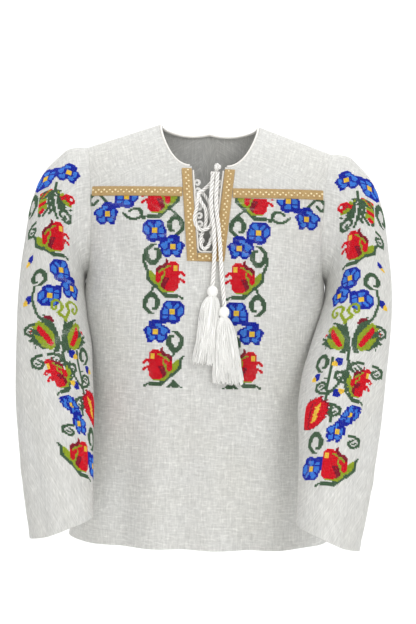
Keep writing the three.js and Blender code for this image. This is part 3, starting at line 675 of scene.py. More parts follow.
# ---- the trees ---------------------------------------------------------------------------------------
def rope_tree():
    """Strands laid round a line, each a thin tube."""
    tree = Shaping("rope", Strands=int, Offset=float, Strand=float, Pitch=float, Step=float, Sides=int)
    line = tree.add("GeometryNodeMeshToCurve", {0: tree.given("Geometry")})
    spaced = {"Curve": line, "Length": tree.given("Step")}
    even = tree.add("GeometryNodeResampleCurve", spaced, mode="LENGTH")
    repeated = {"Geometry": even, "Amount": tree.given("Strands")}
    copies = tree.add("GeometryNodeDuplicateElements", repeated, domain="SPLINE")
    phase = copies.of("Duplicate Index") * math.tau / tree.given("Strands")
    angle = phase + tree.along("Length") * math.tau / tree.given("Pitch")
    normal = tree.add("GeometryNodeInputNormal")
    other = tree.vector("CROSS_PRODUCT", tree.add("GeometryNodeInputTangent"), normal)
    across = tree.scaled(normal, angle.cosine() * tree.given("Offset"))
    beside = tree.scaled(other, angle.sine() * tree.given("Offset"))
    moved = {"Geometry": copies, "Offset": tree.vector("ADD", across, beside)}
    return tree.closed(tree.tubes(tree.add("GeometryNodeSetPosition", moved), "Strand"))


def yarn_tree():
    """Many yarns, one for each base point, each bent through that point's own root, hip, knee and tip."""
    tree = Shaping("yarns", Steps=int, Thick=float, Sides=int, Stray=float)
    straight = tree.add("GeometryNodeCurvePrimitiveLine", {"End": (0.0, 0.0, 1.0)})
    straight = tree.add("GeometryNodeResampleCurve", {"Curve": straight, "Count": tree.given("Steps")})
    placed = {"Points": tree.given("Geometry"), "Instance": straight}
    each = tree.add("GeometryNodeInstanceOnPoints", placed)
    each = tree.add("GeometryNodeRealizeInstances", {0: each})
    t = tree.along("Factor")
    left = 1.0 - t
    weights = (left * left * left, 3.0 * left * left * t, 3.0 * left * t * t, t * t * t)
    ways = [tree.scaled(tree.read(name), weight) for name, weight in zip(YARN_POINTS, weights)]
    seed = tree.vector("ADD", tree.scaled(tree.read("tip"), 900.0), tree.joined(t * 4.5, 0.0, 0.0))
    noise = tree.add("ShaderNodeTexNoise", {"Vector": seed, "Scale": 1.0, "Detail": 1.0}, "Color")
    stray = tree.scaled(tree.vector("SUBTRACT", noise, (0.5, 0.5, 0.5)), t * tree.given("Stray"))
    way = ways[0]
    for part in (*ways[1:], stray):
        way = tree.vector("ADD", way, part)
    bent = tree.add("GeometryNodeSetPosition", {"Geometry": each, "Position": way})
    return tree.closed(tree.tubes(bent, "Thick"))


def scatter_tree():
    """One small shape on each base point, turned by "aim" and sized by "size"."""
    tree = Shaping("scatter", Shape=bpy.types.Object)
    placed = {
        "Points": tree.given("Geometry"),
        "Instance": tree.add("GeometryNodeObjectInfo", {"Object": tree.given("Shape")}, "Geometry"),
        "Rotation": tree.add("FunctionNodeEulerToRotation", {0: tree.read("aim")}),
        "Scale": tree.read("size"),
    }
    return tree.closed(tree.add("GeometryNodeInstanceOnPoints", placed))


YARN_POINTS = ("root", "hip", "knee", "tip")
ROPE, YARNS, SCATTER = rope_tree(), yarn_tree(), scatter_tree()


# ---- finishes ----------------------------------------------------------------------------------------
def colour(red, green, blue):
    """A dyer's swatch in 0-255 steps as the shader's linear colour."""
    steps = [c / 255 for c in (red, green, blue)]
    return (*(c / 12.92 if c <= 0.04045 else ((c + 0.055) / 1.055) ** 2.4 for c in steps), 1.0)


def linen_finish():
    """Plain-woven linen: uneven slubby threads both ways, matte and off-white, a little warmer in places."""
    f = Finish("linen", Roughness=0.88, Sheen_Weight=0.12, Sheen_Roughness=0.5, Specular_IOR_Level=0.25)
    cloth = f.uv("Weave")
    warp = f.grain(cloth, (380, 46, 1), 3.0, 0.72)
    weft = f.grain(cloth, (42, 340, 1), 3.0, 0.72)
    slub = f.grain(cloth, (95, 330, 1), 1.0).above(0.6, 0.2)
    knot = f.grain(cloth, (300, 85, 1), 1.0).above(0.62, 0.2)
    patches = f.grain(cloth, (9, 9, 1), 2.0)
    cool, warm = colour(203, 203, 200), colour(200, 199, 193)
    tone = 0.43 + 0.6 * warp + 0.52 * weft + 0.13 * slub + 0.11 * knot
    f.feed("Base Color", f.shaded(f.colours(patches.above(0.5, 0.5) * 0.6, cool, warm), tone))
    f.feed("Roughness", 0.83 + 0.1 * slub)
    ends, picks = f.waves(cloth, 0.00075, 0.00075)
    f.relief(ends * picks * 0.3 + warp * 1.3 + weft * 1.3 + slub * 0.5 + knot * 0.4, 0.0003, 0.7)
    return f.material


def thread_finish():
    """Stranded cotton: the dyed colour of each stitch, with the strands' fine lines and a soft sheen."""
    f = Finish("embroidery_cotton", Roughness=0.6, Specular_IOR_Level=0.3)
    strands = f.grain(f.place(), (2600, 2600, 900), 2.0, 0.6)
    f.feed("Base Color", f.shaded(f.attribute("tint", "Color"), 0.8 + 0.36 * strands))
    f.feed("Roughness", 0.5 + 0.25 * strands)
    f.relief(strands, 0.0002, 0.5)
    return f.material


def yarn_finish(name, light, dark, strands, pitch):
    """White mercerised cotton: fine plies that run round each strand, with shade painted darker where they
    dip and, on a cord, between its strands.
    """
    f = Finish(name, Roughness=0.55, Sheen_Weight=0.25, Sheen_Roughness=0.4, Specular_IOR_Level=0.4)
    ply = (f.attribute("turn") * (math.tau * strands) + f.attribute("run") * (math.tau / pitch)).sine()
    grime = f.noise(f.place(), 240.0, 3.0)
    # Painted shade: the dark tone goes where the plies dip; a little random grime is mixed in.
    dip = ply.above(-0.35, 1.1)
    shade = f.colours(dip * 0.75 + grime * 0.25, dark, light)
    # Painted shade: where a cord's strands lie deep, the colour goes to the grey below.
    f.feed("Base Color", f.colours(f.attribute("groove_shade"), shade, colour(182, 179, 174)))
    f.feed("Roughness", 0.68 - 0.16 * dip)
    f.relief(ply * 0.6 + grime * 0.5, 0.00018, 0.6)
    return f.material


def gold_finish():
    """Woven lurex ribbon: flat metal wefts over cotton, with darker gaps and worn, redder places."""
    f = Finish("gold_ribbon", Metallic=0.45, Roughness=0.42, Specular_IOR_Level=0.5)
    ribbon = f.uv("Weave")
    warp, rib = f.waves(ribbon, 0.0011, 0.0009)
    flecks = f.grain(ribbon, (700, 1500, 1), 2.0, 0.7)
    worn = f.grain(ribbon, (160, 110, 1), 2.0)
    bright = rib.above(-0.2, 1.2) * 0.55 + flecks.above(0.5, 0.3) * 0.45
    base = f.colours(bright, colour(160, 124, 72), colour(212, 184, 130))
    f.feed("Base Color", f.colours(worn.above(0.56, 0.2) * 0.45, base, colour(178, 140, 88)))
    f.feed("Roughness", 0.62 - 0.24 * bright)
    f.feed("Metallic", 0.1 + 0.25 * bright)
    f.relief(rib * 0.7 + warp * 0.35 + flecks * 0.5, 0.0003, 0.7)
    return f.material


def plain_finish(name, light, dark, rough, scale=900.0):
    """A small trim's thread: its colour in two close tones with a fine uneven surface."""
    f = Finish(name, Roughness=rough, Sheen_Weight=0.15)
    grain = f.noise(f.place(), scale, 3.0)
    f.feed("Base Color", f.colours(grain, dark, light))
    f.feed("Roughness", rough - 0.1 + 0.2 * grain)
    f.relief(grain, 0.00015, 0.5)
    return f.material


LINEN = linen_finish()
COTTON = thread_finish()
# The second, darker tone of each yarn finish is painted shade in the dips of the plies, with some random
# grime.
CORD = yarn_finish("white_cord", colour(255, 254, 251), colour(236, 234, 229), 4, 0.0042)
YARN = yarn_finish("tassel_yarn", colour(255, 255, 252), colour(238, 237, 233), 2, 0.0026)
GOLD = gold_finish()
GOLD_THREAD = plain_finish("gold_thread", colour(222, 190, 122), colour(160, 118, 60), 0.45)
CREAM = plain_finish("cream_thread", colour(252, 242, 204), colour(228, 205, 150), 0.5)
PIPED = plain_finish("white_piping", colour(236, 234, 229), colour(214, 211, 204), 0.7, 500.0)


def kept(piece, slot, *nodes):
    """The piece rides with the blouse and stands for these solids. Its slot is not used."""
    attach(piece, "root")
    if nodes:
        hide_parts(*nodes)


# ---- cords: the two hanging ends, with their tassels -------------------------------------------------
KNOT = dict(x=13, z=-80, radius=6.5, lift=13)
# Each end's way down (x and height), its head's place, how far the skirt leans, and its half breadths.
TIES = [
    dict(
        name="right", way=[(6.4, -96), (5.4, -123), (6.6, -145), (10.2, -168), (12.4, -200), (11.8, -235)],
        x=11, head=-262, lean=-10, flare=(4.4, 22, 11, 16), yarns=210,
    ),
    dict(
        name="left", way=[(13.4, -96), (12.6, -123), (14, -145), (17.4, -168), (20.6, -200), (24, -240)],
        x=28.2, head=-291, lean=8.5, flare=(4.4, 19, 18, 23), yarns=240,
    ),
]
TASSEL = dict(head=8.2, skirt=101, lift=9.6)
# The skirt's four levels: how far down it each is, its share of the lean, and its half depth.
SKIRT = dict(down=(0, 0.1, 0.55, 1), lean=(0, 0.2, 0.5, 1), deep=(4.2, 9.0, 7.0, 6.8))
# How a cord is laid: strands, their distance off its middle, half thickness, pitch, step along it and sides.
LAYS = dict(
    tie=(3, 1.74, 1.5, 22.0, 1.0, 8), lacing=(3, 1.5, 1.3, 19.0, 1.0, 7), knot=(3, 1.1, 1.0, 9.0, 0.8, 7),
    loop=(2, 0.5, 0.62, 5.0, 0.7, 6), neck=(2, 0.42, 0.42, 3.0, 0.9, 6),
)


def front_route(places):
    """Points of the front from rows of x, height and lift."""
    return on_front(*np.array(places, float).T)


def rope(name, route, lay, closed=False):
    """A laid cord on a route in mm, with the depth between its strands stored as painted shade for its
    finish.
    """
    strands, offset, strand, pitch, step, sides = LAYS[lay]
    piece = ROPE.run(
        name, polyline(name, route, closed), Strands=strands, Offset=offset * MM, Strand=strand * MM,
        Pitch=pitch * MM, Step=step * MM, Sides=sides, Finish=CORD,
    )
    places = np.array([v.co for v in piece.data.vertices]) / MM
    away = np.concatenate([
        np.linalg.norm(part[:, None] - route, axis=-1).min(1) for part in np.array_split(places, 60)
    ])
    # Painted shade: the deeper a point lies between the strands, the darker the finish paints it.
    groove_shade = 1 - ramp(away, offset + 0.05 * strand, offset + 0.8 * strand)
    add_attribute(piece.data, "groove_shade", "FLOAT", 0.8 * groove_shade, "value")
    return piece


def tie_route(tie):
    """From the knot down the front and through the tassel's head, nearer the cloth as it falls."""
    top, lift = KNOT["z"] - KNOT["radius"] - 1, TASSEL["lift"]
    places = [(tie["way"][0][0], top, KNOT["lift"])]
    places += [(x, z, lift - 0.014 * (top - z)) for x, z in tie["way"]]
    end = tie["head"] + TASSEL["head"] + 0.8
    places += [(tie["x"], z, lift) for z in (end + 4, end, tie["head"] - 12)]
    return smooth_route(front_route(places + [(tie["x"] + 0.1 * tie["lean"], tie["head"] - 34, lift)]), 140)


def yarns(name, ways, thick, sides, steps, stray=0.0):
    """Yarns from an array of four points each."""
    base = mesh_of(name, ways[:, 3], [])
    for column, key in enumerate(YARN_POINTS):
        add_attribute(base, key, "FLOAT_VECTOR", ways[:, column] * MM)
    return YARNS.run(name, base, Steps=steps, Thick=thick * MM, Sides=sides, Stray=stray * MM, Finish=YARN)


def oval_place(x, z, wide, thick, turn):
    """A place round an upright oval whose middle stands off the front by the tassels' lift."""
    return on_front(x, z, TASSEL["lift"]) + xyz(wide * np.cos(turn), thick * np.sin(turn), 0)


def tassel_head(tie):
    """Yarns drawn over a ball from its top to the neck, and a few turns of cord round the neck."""
    x, z, r = tie["x"], tie["head"], TASSEL["head"] - 0.7
    turn = np.arange(48) * math.tau / 48
    levels = ((r * 0.97, 0.9), (r * 0.78, r * 1.12), (-r * 0.5, r * 1.24), (-r * 0.95, 4.0))
    ways = [oval_place(x, z + level, out, out, turn + level * 0.03) for level, out in levels]
    ball = yarns(f"tassel_head_{tie['name']}_yarn", np.stack(ways, 1), 0.72, 5, 12)
    coil = np.linspace(0, 1, 91)
    winding = oval_place(x, z - r * 0.86 - 2.6 * coil, 4.3, 4.3, coil * 8 * math.pi)
    wrap = rope("tassel_neck_" + tie["name"], winding, "neck")
    rounds = [(math.sin(a), math.cos(a)) for a in np.radians([80, 50, 20, -10, -40, -65])]
    core = rounded_mesh("tassel_core_" + tie["name"], x, [(z + r * s, 0, r * c, r * c) for s, c in rounds])
    return ball, wrap, core


def rounded_mesh(name, x, sections):
    """The stuffing of a tassel: upright sections of height, lean, half breadth and half thickness."""
    around = 20
    turn = np.arange(around) * math.tau / around
    points = np.concatenate([oval_place(x + lean, z, w, t, turn) for z, lean, w, t in sections])
    faces = [tuple(range(around)), tuple(reversed(range(len(points) - around, len(points))))]
    for i in range(len(sections) - 1):
        for k in range(around):
            a, b = i * around + k, i * around + (k + 1) % around
            faces.append((a, a + around, b + around, b))
    piece = new_object(name, mesh_of(name, points, faces))
    piece.data.materials.append(YARN)
    return piece


def tassel_skirt(tie):
    """The skirt's yarns, bundled at the neck and spread at once, hang loose round a bunch inside them."""
    rng = np.random.default_rng(len(tie["name"]))
    count = tie["yarns"]
    turn = rng.uniform(0, math.tau, count)
    out = np.sqrt(rng.uniform(0.4, 1, count))
    top = tie["head"] - TASSEL["head"] + 1.2
    length = TASSEL["skirt"] - 1.5 - rng.uniform(0, 1, count) ** 2 * 12 - 3.5 * np.sin(turn + 1) ** 2
    levels = np.stack([SKIRT["down"], SKIRT["lean"], tie["flare"], SKIRT["deep"]], 1)
    ways = []
    for down, lean, wide, deep in levels:
        sway = turn + 0.2 * down * rng.normal(0, 1, count)
        x = tie["x"] + lean * tie["lean"]
        ways.append(oval_place(x, top - length * down, wide * out, deep * out, sway))
    t = np.linspace(0.04, 0.86, 7)[:, None]
    weights = [(1 - t) ** 3, 3 * (1 - t) ** 2 * t, 3 * (1 - t) * t**2, t**3]
    bunch = [
        (top - down * TASSEL["skirt"], lean * tie["lean"], 0.8 * wide, 0.8 * deep)
        for down, lean, wide, deep in sum(weight * level for weight, level in zip(weights, levels))
    ]
    inner = rounded_mesh("tassel_bunch_" + tie["name"], tie["x"], bunch)
    return yarns(f"tassel_skirt_{tie['name']}_yarn", np.stack(ways, 1), 0.6, 4, 13, 8.0), inner


def hanging_ends():
    for tie in TIES:
        side = tie["name"]
        route = tie_route(tie)
        cord = rope(f"tie_{side}_cord", route, "tie")
        ball, wrap, core = tassel_head(tie)
        skirt, bunch = tassel_skirt(tie)
        kept(cord, "white_cord", "tie_" + side)
        kept(ball, "white_cord", "tassel_head_" + side)
        kept(wrap, "white_cord")
        kept(core, "white_cord")
        kept(skirt, "white_cord", "tassel_skirt_" + side)
        kept(bunch, "white_cord")
        run = run_lengths(route)[-1]


hanging_ends()


# ---- the cloth ---------------------------------------------------------------------------------------
def evenly(low, high, count):
    return np.linspace(low, high, count + 1)


def neck_rows(lowest, count):
    return lowest * np.sin(np.radians(evenly(0, 90, count)))


def cloth_measure(points):
    """A UV map in metres for a grid of points in mm: each row's and each column's own run."""
    across = np.stack([run_lengths(row) for row in points])
    across = across - across[:, across.shape[1] // 2][:, None]
    down = np.stack([run_lengths(points[:, k]) for k in range(points.shape[1])], 1)
    return np.stack([across, -down], -1) * MM


def finish_cloth(piece, flat, area, held, rests, *nodes):
    piece.data.materials.append(LINEN)
    kept(piece, "linen", *nodes)


def hem_step(rows, last, depth):
    """The doubled cloth of a turned hem, a little thicker than the rest over its last rows."""
    return 0.45 * ramp(rows, last - depth, last - depth * 0.94)


def body_panel(name, form, rows, columns_of, there=None):
    """Both skins of a panel and the wall between them. columns_of(row) gives the turns of its columns."""
    turns = np.stack([columns_of(row) for row in rows])
    heights = np.repeat(rows[:, None], turns.shape[1], 1)
    thicker = hem_step(heights, LAST_ROW, 0.24) if rows[-1] == LAST_ROW else 0.0
    outer = on_body(form, turns, heights, CLOTH / 2 + thicker)
    inner = on_body(form, turns, heights, -CLOTH / 2)
    return grid_wall(name, outer, inner, cloth_measure((outer + inner) / 2), there)


def open_panel(name, form, open_rows, more, columns, edge):
    """The front or back, with an opening in the middle of its first rows; edge(row) is its half width."""
    def columns_of(row):
        side = mix(float(turn_at(form, edge(row), row)), 90, evenly(0, 1, columns))
        return np.concatenate([-side[::-1], [0.0], side])

    rows = np.concatenate([open_rows, evenly(open_rows[-1], LAST_ROW, more)[1:]])
    there = lambda i, k: (i >= len(open_rows) - 1) | ((k != columns) & (k != columns + 1))
    return body_panel(name, form, rows, columns_of, there)


def front_panel():
    beside_slit = evenly(YOKE_ROW + YOKE_GAP, SLIT_FOOT_ROW, 24)
    edge = lambda row: float(inner_edge(FRONT, np.float64(min(row, SLIT_FOOT_ROW))))
    piece = open_panel("front_panel_cloth", FRONT, beside_slit, 118, 64, edge)
    finish_cloth(piece, (0.46, 0.535), 0.24, "hung", ["yoke_left", "yoke_right"], "front_panel")


def back_panel():
    edge = lambda row: max(float(inner_edge(BACK, np.float64(row))), 12.0)
    piece = open_panel("back_panel_cloth", BACK, neck_rows(NECK["back_row"], 14), 128, 46, edge)
    finish_cloth(piece, (0.45, 0.66), 0.282, "hung", ["yoke_left", "yoke_right"], "back_panel")


def yoke(side, hand):
    lowest = NECK["front_row"]
    rows = np.concatenate([neck_rows(lowest, 20), evenly(lowest, YOKE_ROW - YOKE_GAP, 10)[1:]])

    def columns_of(row):
        inner = float(turn_at(FRONT, inner_edge(FRONT, np.float64(row)), np.float64(row)))
        return hand * mix(inner, 90, evenly(0, 1, 46))

    piece = body_panel(f"yoke_{side}_cloth", FRONT, rows, columns_of)
    finish_cloth(piece, (0.165, 0.125), 0.0172, "stretched", ["back_panel"], "yoke_" + side)


def sleeve(side, form):
    rows = np.concatenate([evenly(0, 1, 14), evenly(1, form["last"], 124)[1:]])
    turns, heights = np.meshgrid(evenly(0, 360, 104), rows)
    thicker = hem_step(heights, form["last"], 0.2)
    outer = on_sleeve(form, turns, heights, CLOTH / 2 + thicker)
    inner = on_sleeve(form, turns, heights, -CLOTH / 2)
    measure = cloth_measure((outer + inner) / 2)
    piece = grid_wall(f"sleeve_{side}_cloth", outer[:, :-1], inner[:, :-1], measure, ring=True)
    nodes = [f"sleeve_{side}_{length}" for length in ("upper", "middle", "lower")]
    finish_cloth(piece, (0.405, 0.6), 0.192, "hung", ["front_panel", "back_panel"], *nodes)


LEFT, RIGHT = sleeve_form(LEFT_SLEEVE, 1), sleeve_form(RIGHT_SLEEVE, -1)
front_panel()
back_panel()
yoke("left", 1)
yoke("right", -1)
sleeve("left", LEFT)
sleeve("right", RIGHT)


# ---- bound edges, ribbon, loops and lacing -----------------------------------------------------------
def roll(name, route, radius, finish, around=12):
    """A round bound edge on a route in mm."""
    return ROPE.run(
        name, polyline(name, route), Strands=1, Offset=0.0, Strand=radius * MM, Pitch=1.0, Step=1.2 * MM,
        Sides=around, Finish=finish,
    )


def slit_binding():
    """Just inside the slit's edge, round its foot with a small bend at each corner."""
    off, bend = PIPING + 0.25, 5
    foot, side = SLIT["foot"] + off, lambda z: slit_half(z) - off
    half = [(side(z), z) for z in evenly(-80, foot + bend, 40)]
    for a in np.radians([15, 30, 45, 60, 75, 90]):
        half.append((side(foot) - bend * (1 - math.cos(a)), foot + bend * (1 - math.sin(a))))
    route = [(-x, z, 0.0) for x, z in half] + [(x, z, 0.0) for x, z in half[::-1]]
    kept(roll("slit_binding_edge", front_route(route), PIPING, PIPED), "white_cord", "slit_binding")


def neck_binding():
    """Round the neck hole, moved in from its edge towards the neck's middle."""
    def edge(form, hand, row):
        return on_body(form, hand * turn_at(form, inner_edge(form, row), row), row, 0)

    down = neck_rows(NECK["front_row"], 24)[:-1]
    behind = neck_rows(NECK["back_row"], 14)
    route = np.concatenate([
        edge(FRONT, -1, down[::-1]), edge(BACK, -1, behind[1:]),
        edge(BACK, 1, behind[::-1][1:]), edge(FRONT, 1, down[1:]),
    ])
    way = unit(np.gradient(route, axis=0))
    inward = [0, 8, -20] - route
    inward = unit(inward - way * (inward * way).sum(1, keepdims=True))
    piece = roll("neck_binding_edge", route + inward * (NECK_ROLL + 0.3), NECK_ROLL, PIPED, 14)
    kept(piece, "linen", "neck_binding")


def small_shape(name, points, faces):
    """A small shape for a tree to repeat; it is taken away again at the end."""
    return new_object(name, mesh_of(name, np.asarray(points, float) / MM, faces))


def dome():
    """A raised knot of cream thread, one unit across."""
    ring = [(0.5 * math.cos(a), 0.5 * math.sin(a), 0.0) for a in np.arange(8) * math.pi / 4]
    upper = [(0.36 * math.cos(a), 0.36 * math.sin(a), 0.34) for a in np.arange(8) * math.pi / 4]
    faces = [(k, (k + 1) % 8, 8 + (k + 1) % 8, 8 + k) for k in range(8)]
    faces += [(8 + k, 8 + (k + 1) % 8, 16) for k in range(8)]
    return small_shape("dome", ring + upper + [(0, 0, 0.46)], faces + [tuple(reversed(range(8)))])


def picot():
    """One loop of the ribbon's fringed edge: a small bent yarn, one unit wide, that stands out along Y."""
    bend = [(-0.34, -0.3), (-0.36, 0.35), (0.0, 0.8), (0.36, 0.35), (0.34, -0.3)]
    points, faces = [], []
    for x, y in bend:
        nx, ny = x * 0.5, 0.3 * max(y, 0)
        points += [(x - nx * 0.5, y - ny, 0.0), (x, y, 0.28), (x + nx * 0.5, y + ny, 0.0), (x, y, -0.2)]
    for i in range(len(bend) - 1):
        for k in range(4):
            a, b = 4 * i + k, 4 * i + (k + 1) % 4
            faces.append((a, b, b + 4, a + 4))
    end = 4 * (len(bend) - 1)
    faces += [(3, 2, 1, 0), (end, end + 1, end + 2, end + 3)]
    return small_shape("picot", points, faces)


def frames(ahead, up):
    """Euler angles that turn +Y along ahead and +Z to up."""
    up = unit(up)
    side = unit(np.cross(ahead, up))
    front = np.cross(up, side)
    return np.stack([
        np.arctan2(front[..., 2], up[..., 2]),
        -np.arcsin(np.clip(side[..., 2], -1, 1)),
        np.arctan2(side[..., 1], side[..., 0]),
    ], -1)


def scattered(name, shape, points, aim, size, finish, extra=None):
    base = mesh_of(name, points, [])
    add_attribute(base, "aim", "FLOAT_VECTOR", aim)
    add_attribute(base, "size", "FLOAT_VECTOR", size)
    if extra is not None:
        add_attribute(base, "tint", "FLOAT_COLOR", extra, "color")
    return SCATTER.run(name, base, Shape=shape, Finish=finish)


def front_frame(x, z, lift):
    """A place on the front with the way right, the way up and the way out there, each for one mm."""
    reach = 0.8
    right = (on_front(x + reach, z, lift) - on_front(x - reach, z, lift)) / (2 * reach)
    up = (on_front(x, z + reach, lift) - on_front(x, z - reach, lift)) / (2 * reach)
    return on_front(x, z, lift), right, up, np.cross(right, up)


# A ribbon lies off the cloth and is ribbed. Picots stand along its edges and knots in two staggered rows,
# placed by shares of its width.
WEAVE = dict(off=0.55, rib=1.8, rise=0.12, crown=0.16)
PICOTS = dict(pitch=1.35, edge=0.485, root=0.4, lift=0.45, size=(1.25, 1.3))
KNOTS = dict(pitch=4.35, row=0.39, between=0.23, lift=0.1, height=1.6)


def ribbon(name, lengths, place):
    """A woven band: its ribbed body, the picots of both edges and cream knots in staggered pairs.

    place(t, across) gives x and height from the share along the ribbon and the share across it.
    """
    across = evenly(0, 1, 8)
    x, z = place(evenly(0, 1, lengths)[:, None], across)
    run = run_lengths(on_front(x[:, 4], z[:, 4]))
    ribs = WEAVE["rise"] * np.sin(math.tau * run / WEAVE["rib"])[:, None]
    crown = WEAVE["crown"] * (1 - (2 * across - 1) ** 4)
    base = CLOTH / 2 + WEAVE["off"]
    outer = on_front(x, z, base + RIBBON["thick"] + ribs + crown)
    measure = np.stack(np.broadcast_arrays(across * RIBBON["width"], run[:, None]), -1) * MM
    band = grid_wall(name + "_band", outer, on_front(x, z, base), measure)
    band.data.materials.append(GOLD)
    kept(band, "gold_ribbon", name)

    steps = int(run[-1] / PICOTS["pitch"])
    loose = RNG.normal(0, 1, (2, steps))
    t = (np.arange(steps) + 0.5) / steps
    points, aims = [], []
    for sign in (-1, 1):
        here, _, _, out = front_frame(*place(t, 0.5 + sign * PICOTS["edge"]), base + PICOTS["lift"])
        away = here - on_front(*place(t, 0.5 + sign * PICOTS["root"]), base + PICOTS["lift"])
        aside = 0.12 * loose[:1].T * np.linalg.norm(away, axis=1, keepdims=True) * np.cross(out, away)
        points.append(here)
        aims.append(frames(away + aside, out))
    wide, high = PICOTS["size"]
    size = np.stack([np.full(steps, wide), 1.0 + 0.18 * loose[1], np.full(steps, high)], -1) * MM
    points, aims = np.concatenate(points), np.concatenate(aims)
    kept(scattered(name + "_picots", PICOT, points, aims, np.tile(size, (2, 1)), GOLD_THREAD), "gold_ribbon")

    count = int(run[-1] / KNOTS["pitch"])
    t = (np.arange(count) + 0.6) / count
    row = KNOTS["row"] + KNOTS["between"] * (np.arange(count) % 2) + RNG.normal(0, 0.012, count)
    here, _, up, out = front_frame(*place(t, row), base + RIBBON["thick"] + KNOTS["lift"])
    wide, long = 3.2 + 0.4 * RNG.normal(0, 1, count), 3.0 + 0.4 * RNG.normal(0, 1, count)
    size = np.stack([wide, long, np.full(count, KNOTS["height"])], -1) * MM
    kept(scattered(name + "_knots", DOME, here, frames(up, out), size, CREAM), "gold_ribbon")


def all_ribbons():
    """Two beside the slit, two along the yoke's seam that rise towards the sleeves, one below the slit."""
    width, inset, top = RIBBON["width"], 0.8, SLIT["foot"] - 1.2
    low = top - 11.5
    inner = lambda z: slit_half(z) + inset
    for (side, hand), rise in zip(HANDS, (6.8, 3.5)):
        def beside(t, across):
            z = mix(-78, low, t)
            return hand * (inner(z) + across * width), z + 0 * across

        def along_yoke(t, across):
            x = mix(inner(-105) + width + 0.5, 174, t)
            seam = body_point(FRONT, turn_at(FRONT, x, YOKE_ROW), YOKE_ROW)[..., 2]
            return hand * x + 0 * across, seam + rise * t + (across - 0.5) * (width - 0.8)

        ribbon("ribbon_slit_" + side, 390, beside)
        ribbon("ribbon_yoke_" + side, 390, along_yoke)

    def below(t, across):
        reach = inner(low) - 0.1
        return mix(-reach, reach, t) + 0 * across, mix(top, low, across) + 0 * t

    ribbon("ribbon_slit_foot", 90, below)


def loop_ring(side, hand, loop):
    """One worked loop: two turns of laid cord, one inside the other."""
    z = LOOP["top"] - LOOP["pitch"] * loop
    x = hand * (slit_half(z) - LOOP["inset"])
    middle = on_front(x, z, -LOOP["behind"])
    outward = unit(on_front(x, z) - middle)
    right = unit(np.cross([0, 0, 1], outward))
    up = np.cross(outward, right)
    t = np.linspace(0, 1, 60, endpoint=False)[:, None]
    a = 2 * math.tau * t
    reach = 3.55 + 0.95 * np.cos(math.tau * t)
    route = middle + reach * (np.cos(a) * right + np.sin(a) * up) + 0.35 * np.sin(math.tau * t) * outward
    name = f"loop_{side}_{loop + 1}"
    kept(rope(name + "_cord", route, "loop", closed=True), "white_cord", name)


# The lacing's way from the knot round and back to it: x, height and lift.
LACING = [
    (12.5, -81, 5), (10, -90, 1), (3, -100, -2), (-6, -109, -3), (-12.5, -116, -1.5), (-14.6, -127, 0.5),
    (-15.6, -138, 1), (-17.8, -148, 2), (-18, -157, 2.4), (-15, -166, 2.6), (-8, -171.5, 3),
    (0, -170.5, 3.1), (5.2, -165, 1.4), (7.6, -155, -2), (7.4, -141, -4), (3, -128, -5), (-4, -117, -6.5),
    (-10, -111, -6), (-14.5, -116, -2.5), (-12, -125, 0.6), (-6.5, -133, 1.6), (-2.2, -141, 1.4),
    (-1, -152, 0), (-2, -163, -2.6), (-5.4, -173, -3.2), (-7.8, -183, -0.4), (-7.6, -193, 1.2),
    (-3.4, -199.6, 1.8), (2, -196.6, 1.8), (6.4, -188, 1), (9.2, -178, -1), (9.6, -166, -3.4),
    (6, -152, -7.5), (2.6, -140, -7.5), (4.4, -124, -4), (9.5, -109, -2), (13, -95, 0), (14, -84, 4),
]


def lacing():
    cord = rope("lacing_cord", smooth_route(front_route(LACING), 640), "lacing")
    kept(cord, "white_cord", "lacing")


def tie_knot():
    """An overhand knot: a cord that passes three times round itself."""
    middle = on_front(KNOT["x"], KNOT["z"], KNOT["lift"])
    t = np.linspace(0, math.tau, 90, endpoint=False)[:, None]
    reach = 2.6 + 1.2 * np.cos(3 * t)
    route = middle + np.concatenate([reach * np.cos(2 * t), 1.9 * np.sin(3 * t), reach * np.sin(2 * t)], 1)
    kept(rope("tie_knot_cord", route, "knot", closed=True), "white_cord", "tie_knot")


# ---- cross stitch, from charts drawn with one letter a stitch ----------------------------------------
CELL = 2.0
STITCH_LIFT = CLOTH / 2 + 0.04
THREADS = {
    "R": colour(232, 6, 38), "D": colour(150, 16, 48), "G": colour(78, 108, 80), "L": colour(166, 186, 46),
    "B": colour(14, 38, 178), "b": colour(70, 142, 238), "Y": colour(255, 214, 76),
}
ROSE = """
................D..............
................DD.............
................DD.RRRRR.......
...............DDDRRRRRRR......
..............DDDRRRRRRRRR.....
...........DDDDDDLLLRRYYYR.....
GG........DDDDDDLLRRRRYYYR.....
.GG......DDDDLLLRRRRRRYYYR.....
.GGG.....DDDLLLRRRRRRRYYYR.....
..GGLL...DDLLRRLRRRRRRRRRRRRR..
..GGLLL..RRLRRRLRRRRRRRRRRRRRR.
..GGLLLL.RRRRRRLRRRRRRRRRRR.RRR
..GGLLLLLRRRRRLLRRRRRRRRRR...RR
..GGLLLLLRRRRLLRRRRRRRRRRR.....
..GGGLLLLRRRRLLDDDDRRRRRRRRR...
..GGGLLLLRRRRLDDRDDRRRRRRRRRRR.
...GGGLLLRRRRLDDDDRRRRRRRRR.RRR
....GGGLLLRRLLDDDDRRRRRRRRR..RR
.....GGGLLLLLDDDDRRRRRRRRR.....
......GGGGLLLDDDDRRRRRRRRR.....
.......GGGGLLDDDRRRRRRRRRR.....
........GGGLLLDDRRRRRRRRRR.....
..........GGLLLDRRRRRRRRR......
...........GGLLLLRRRRRRR.......
............GGLLLLLLLLL........
.............GGGGG.............
..............GGGGGGGGGGGG.....
...............GGGGGGGGGGGGG...
................GGGGGGGGGG.GGG.
............................GG.
"""
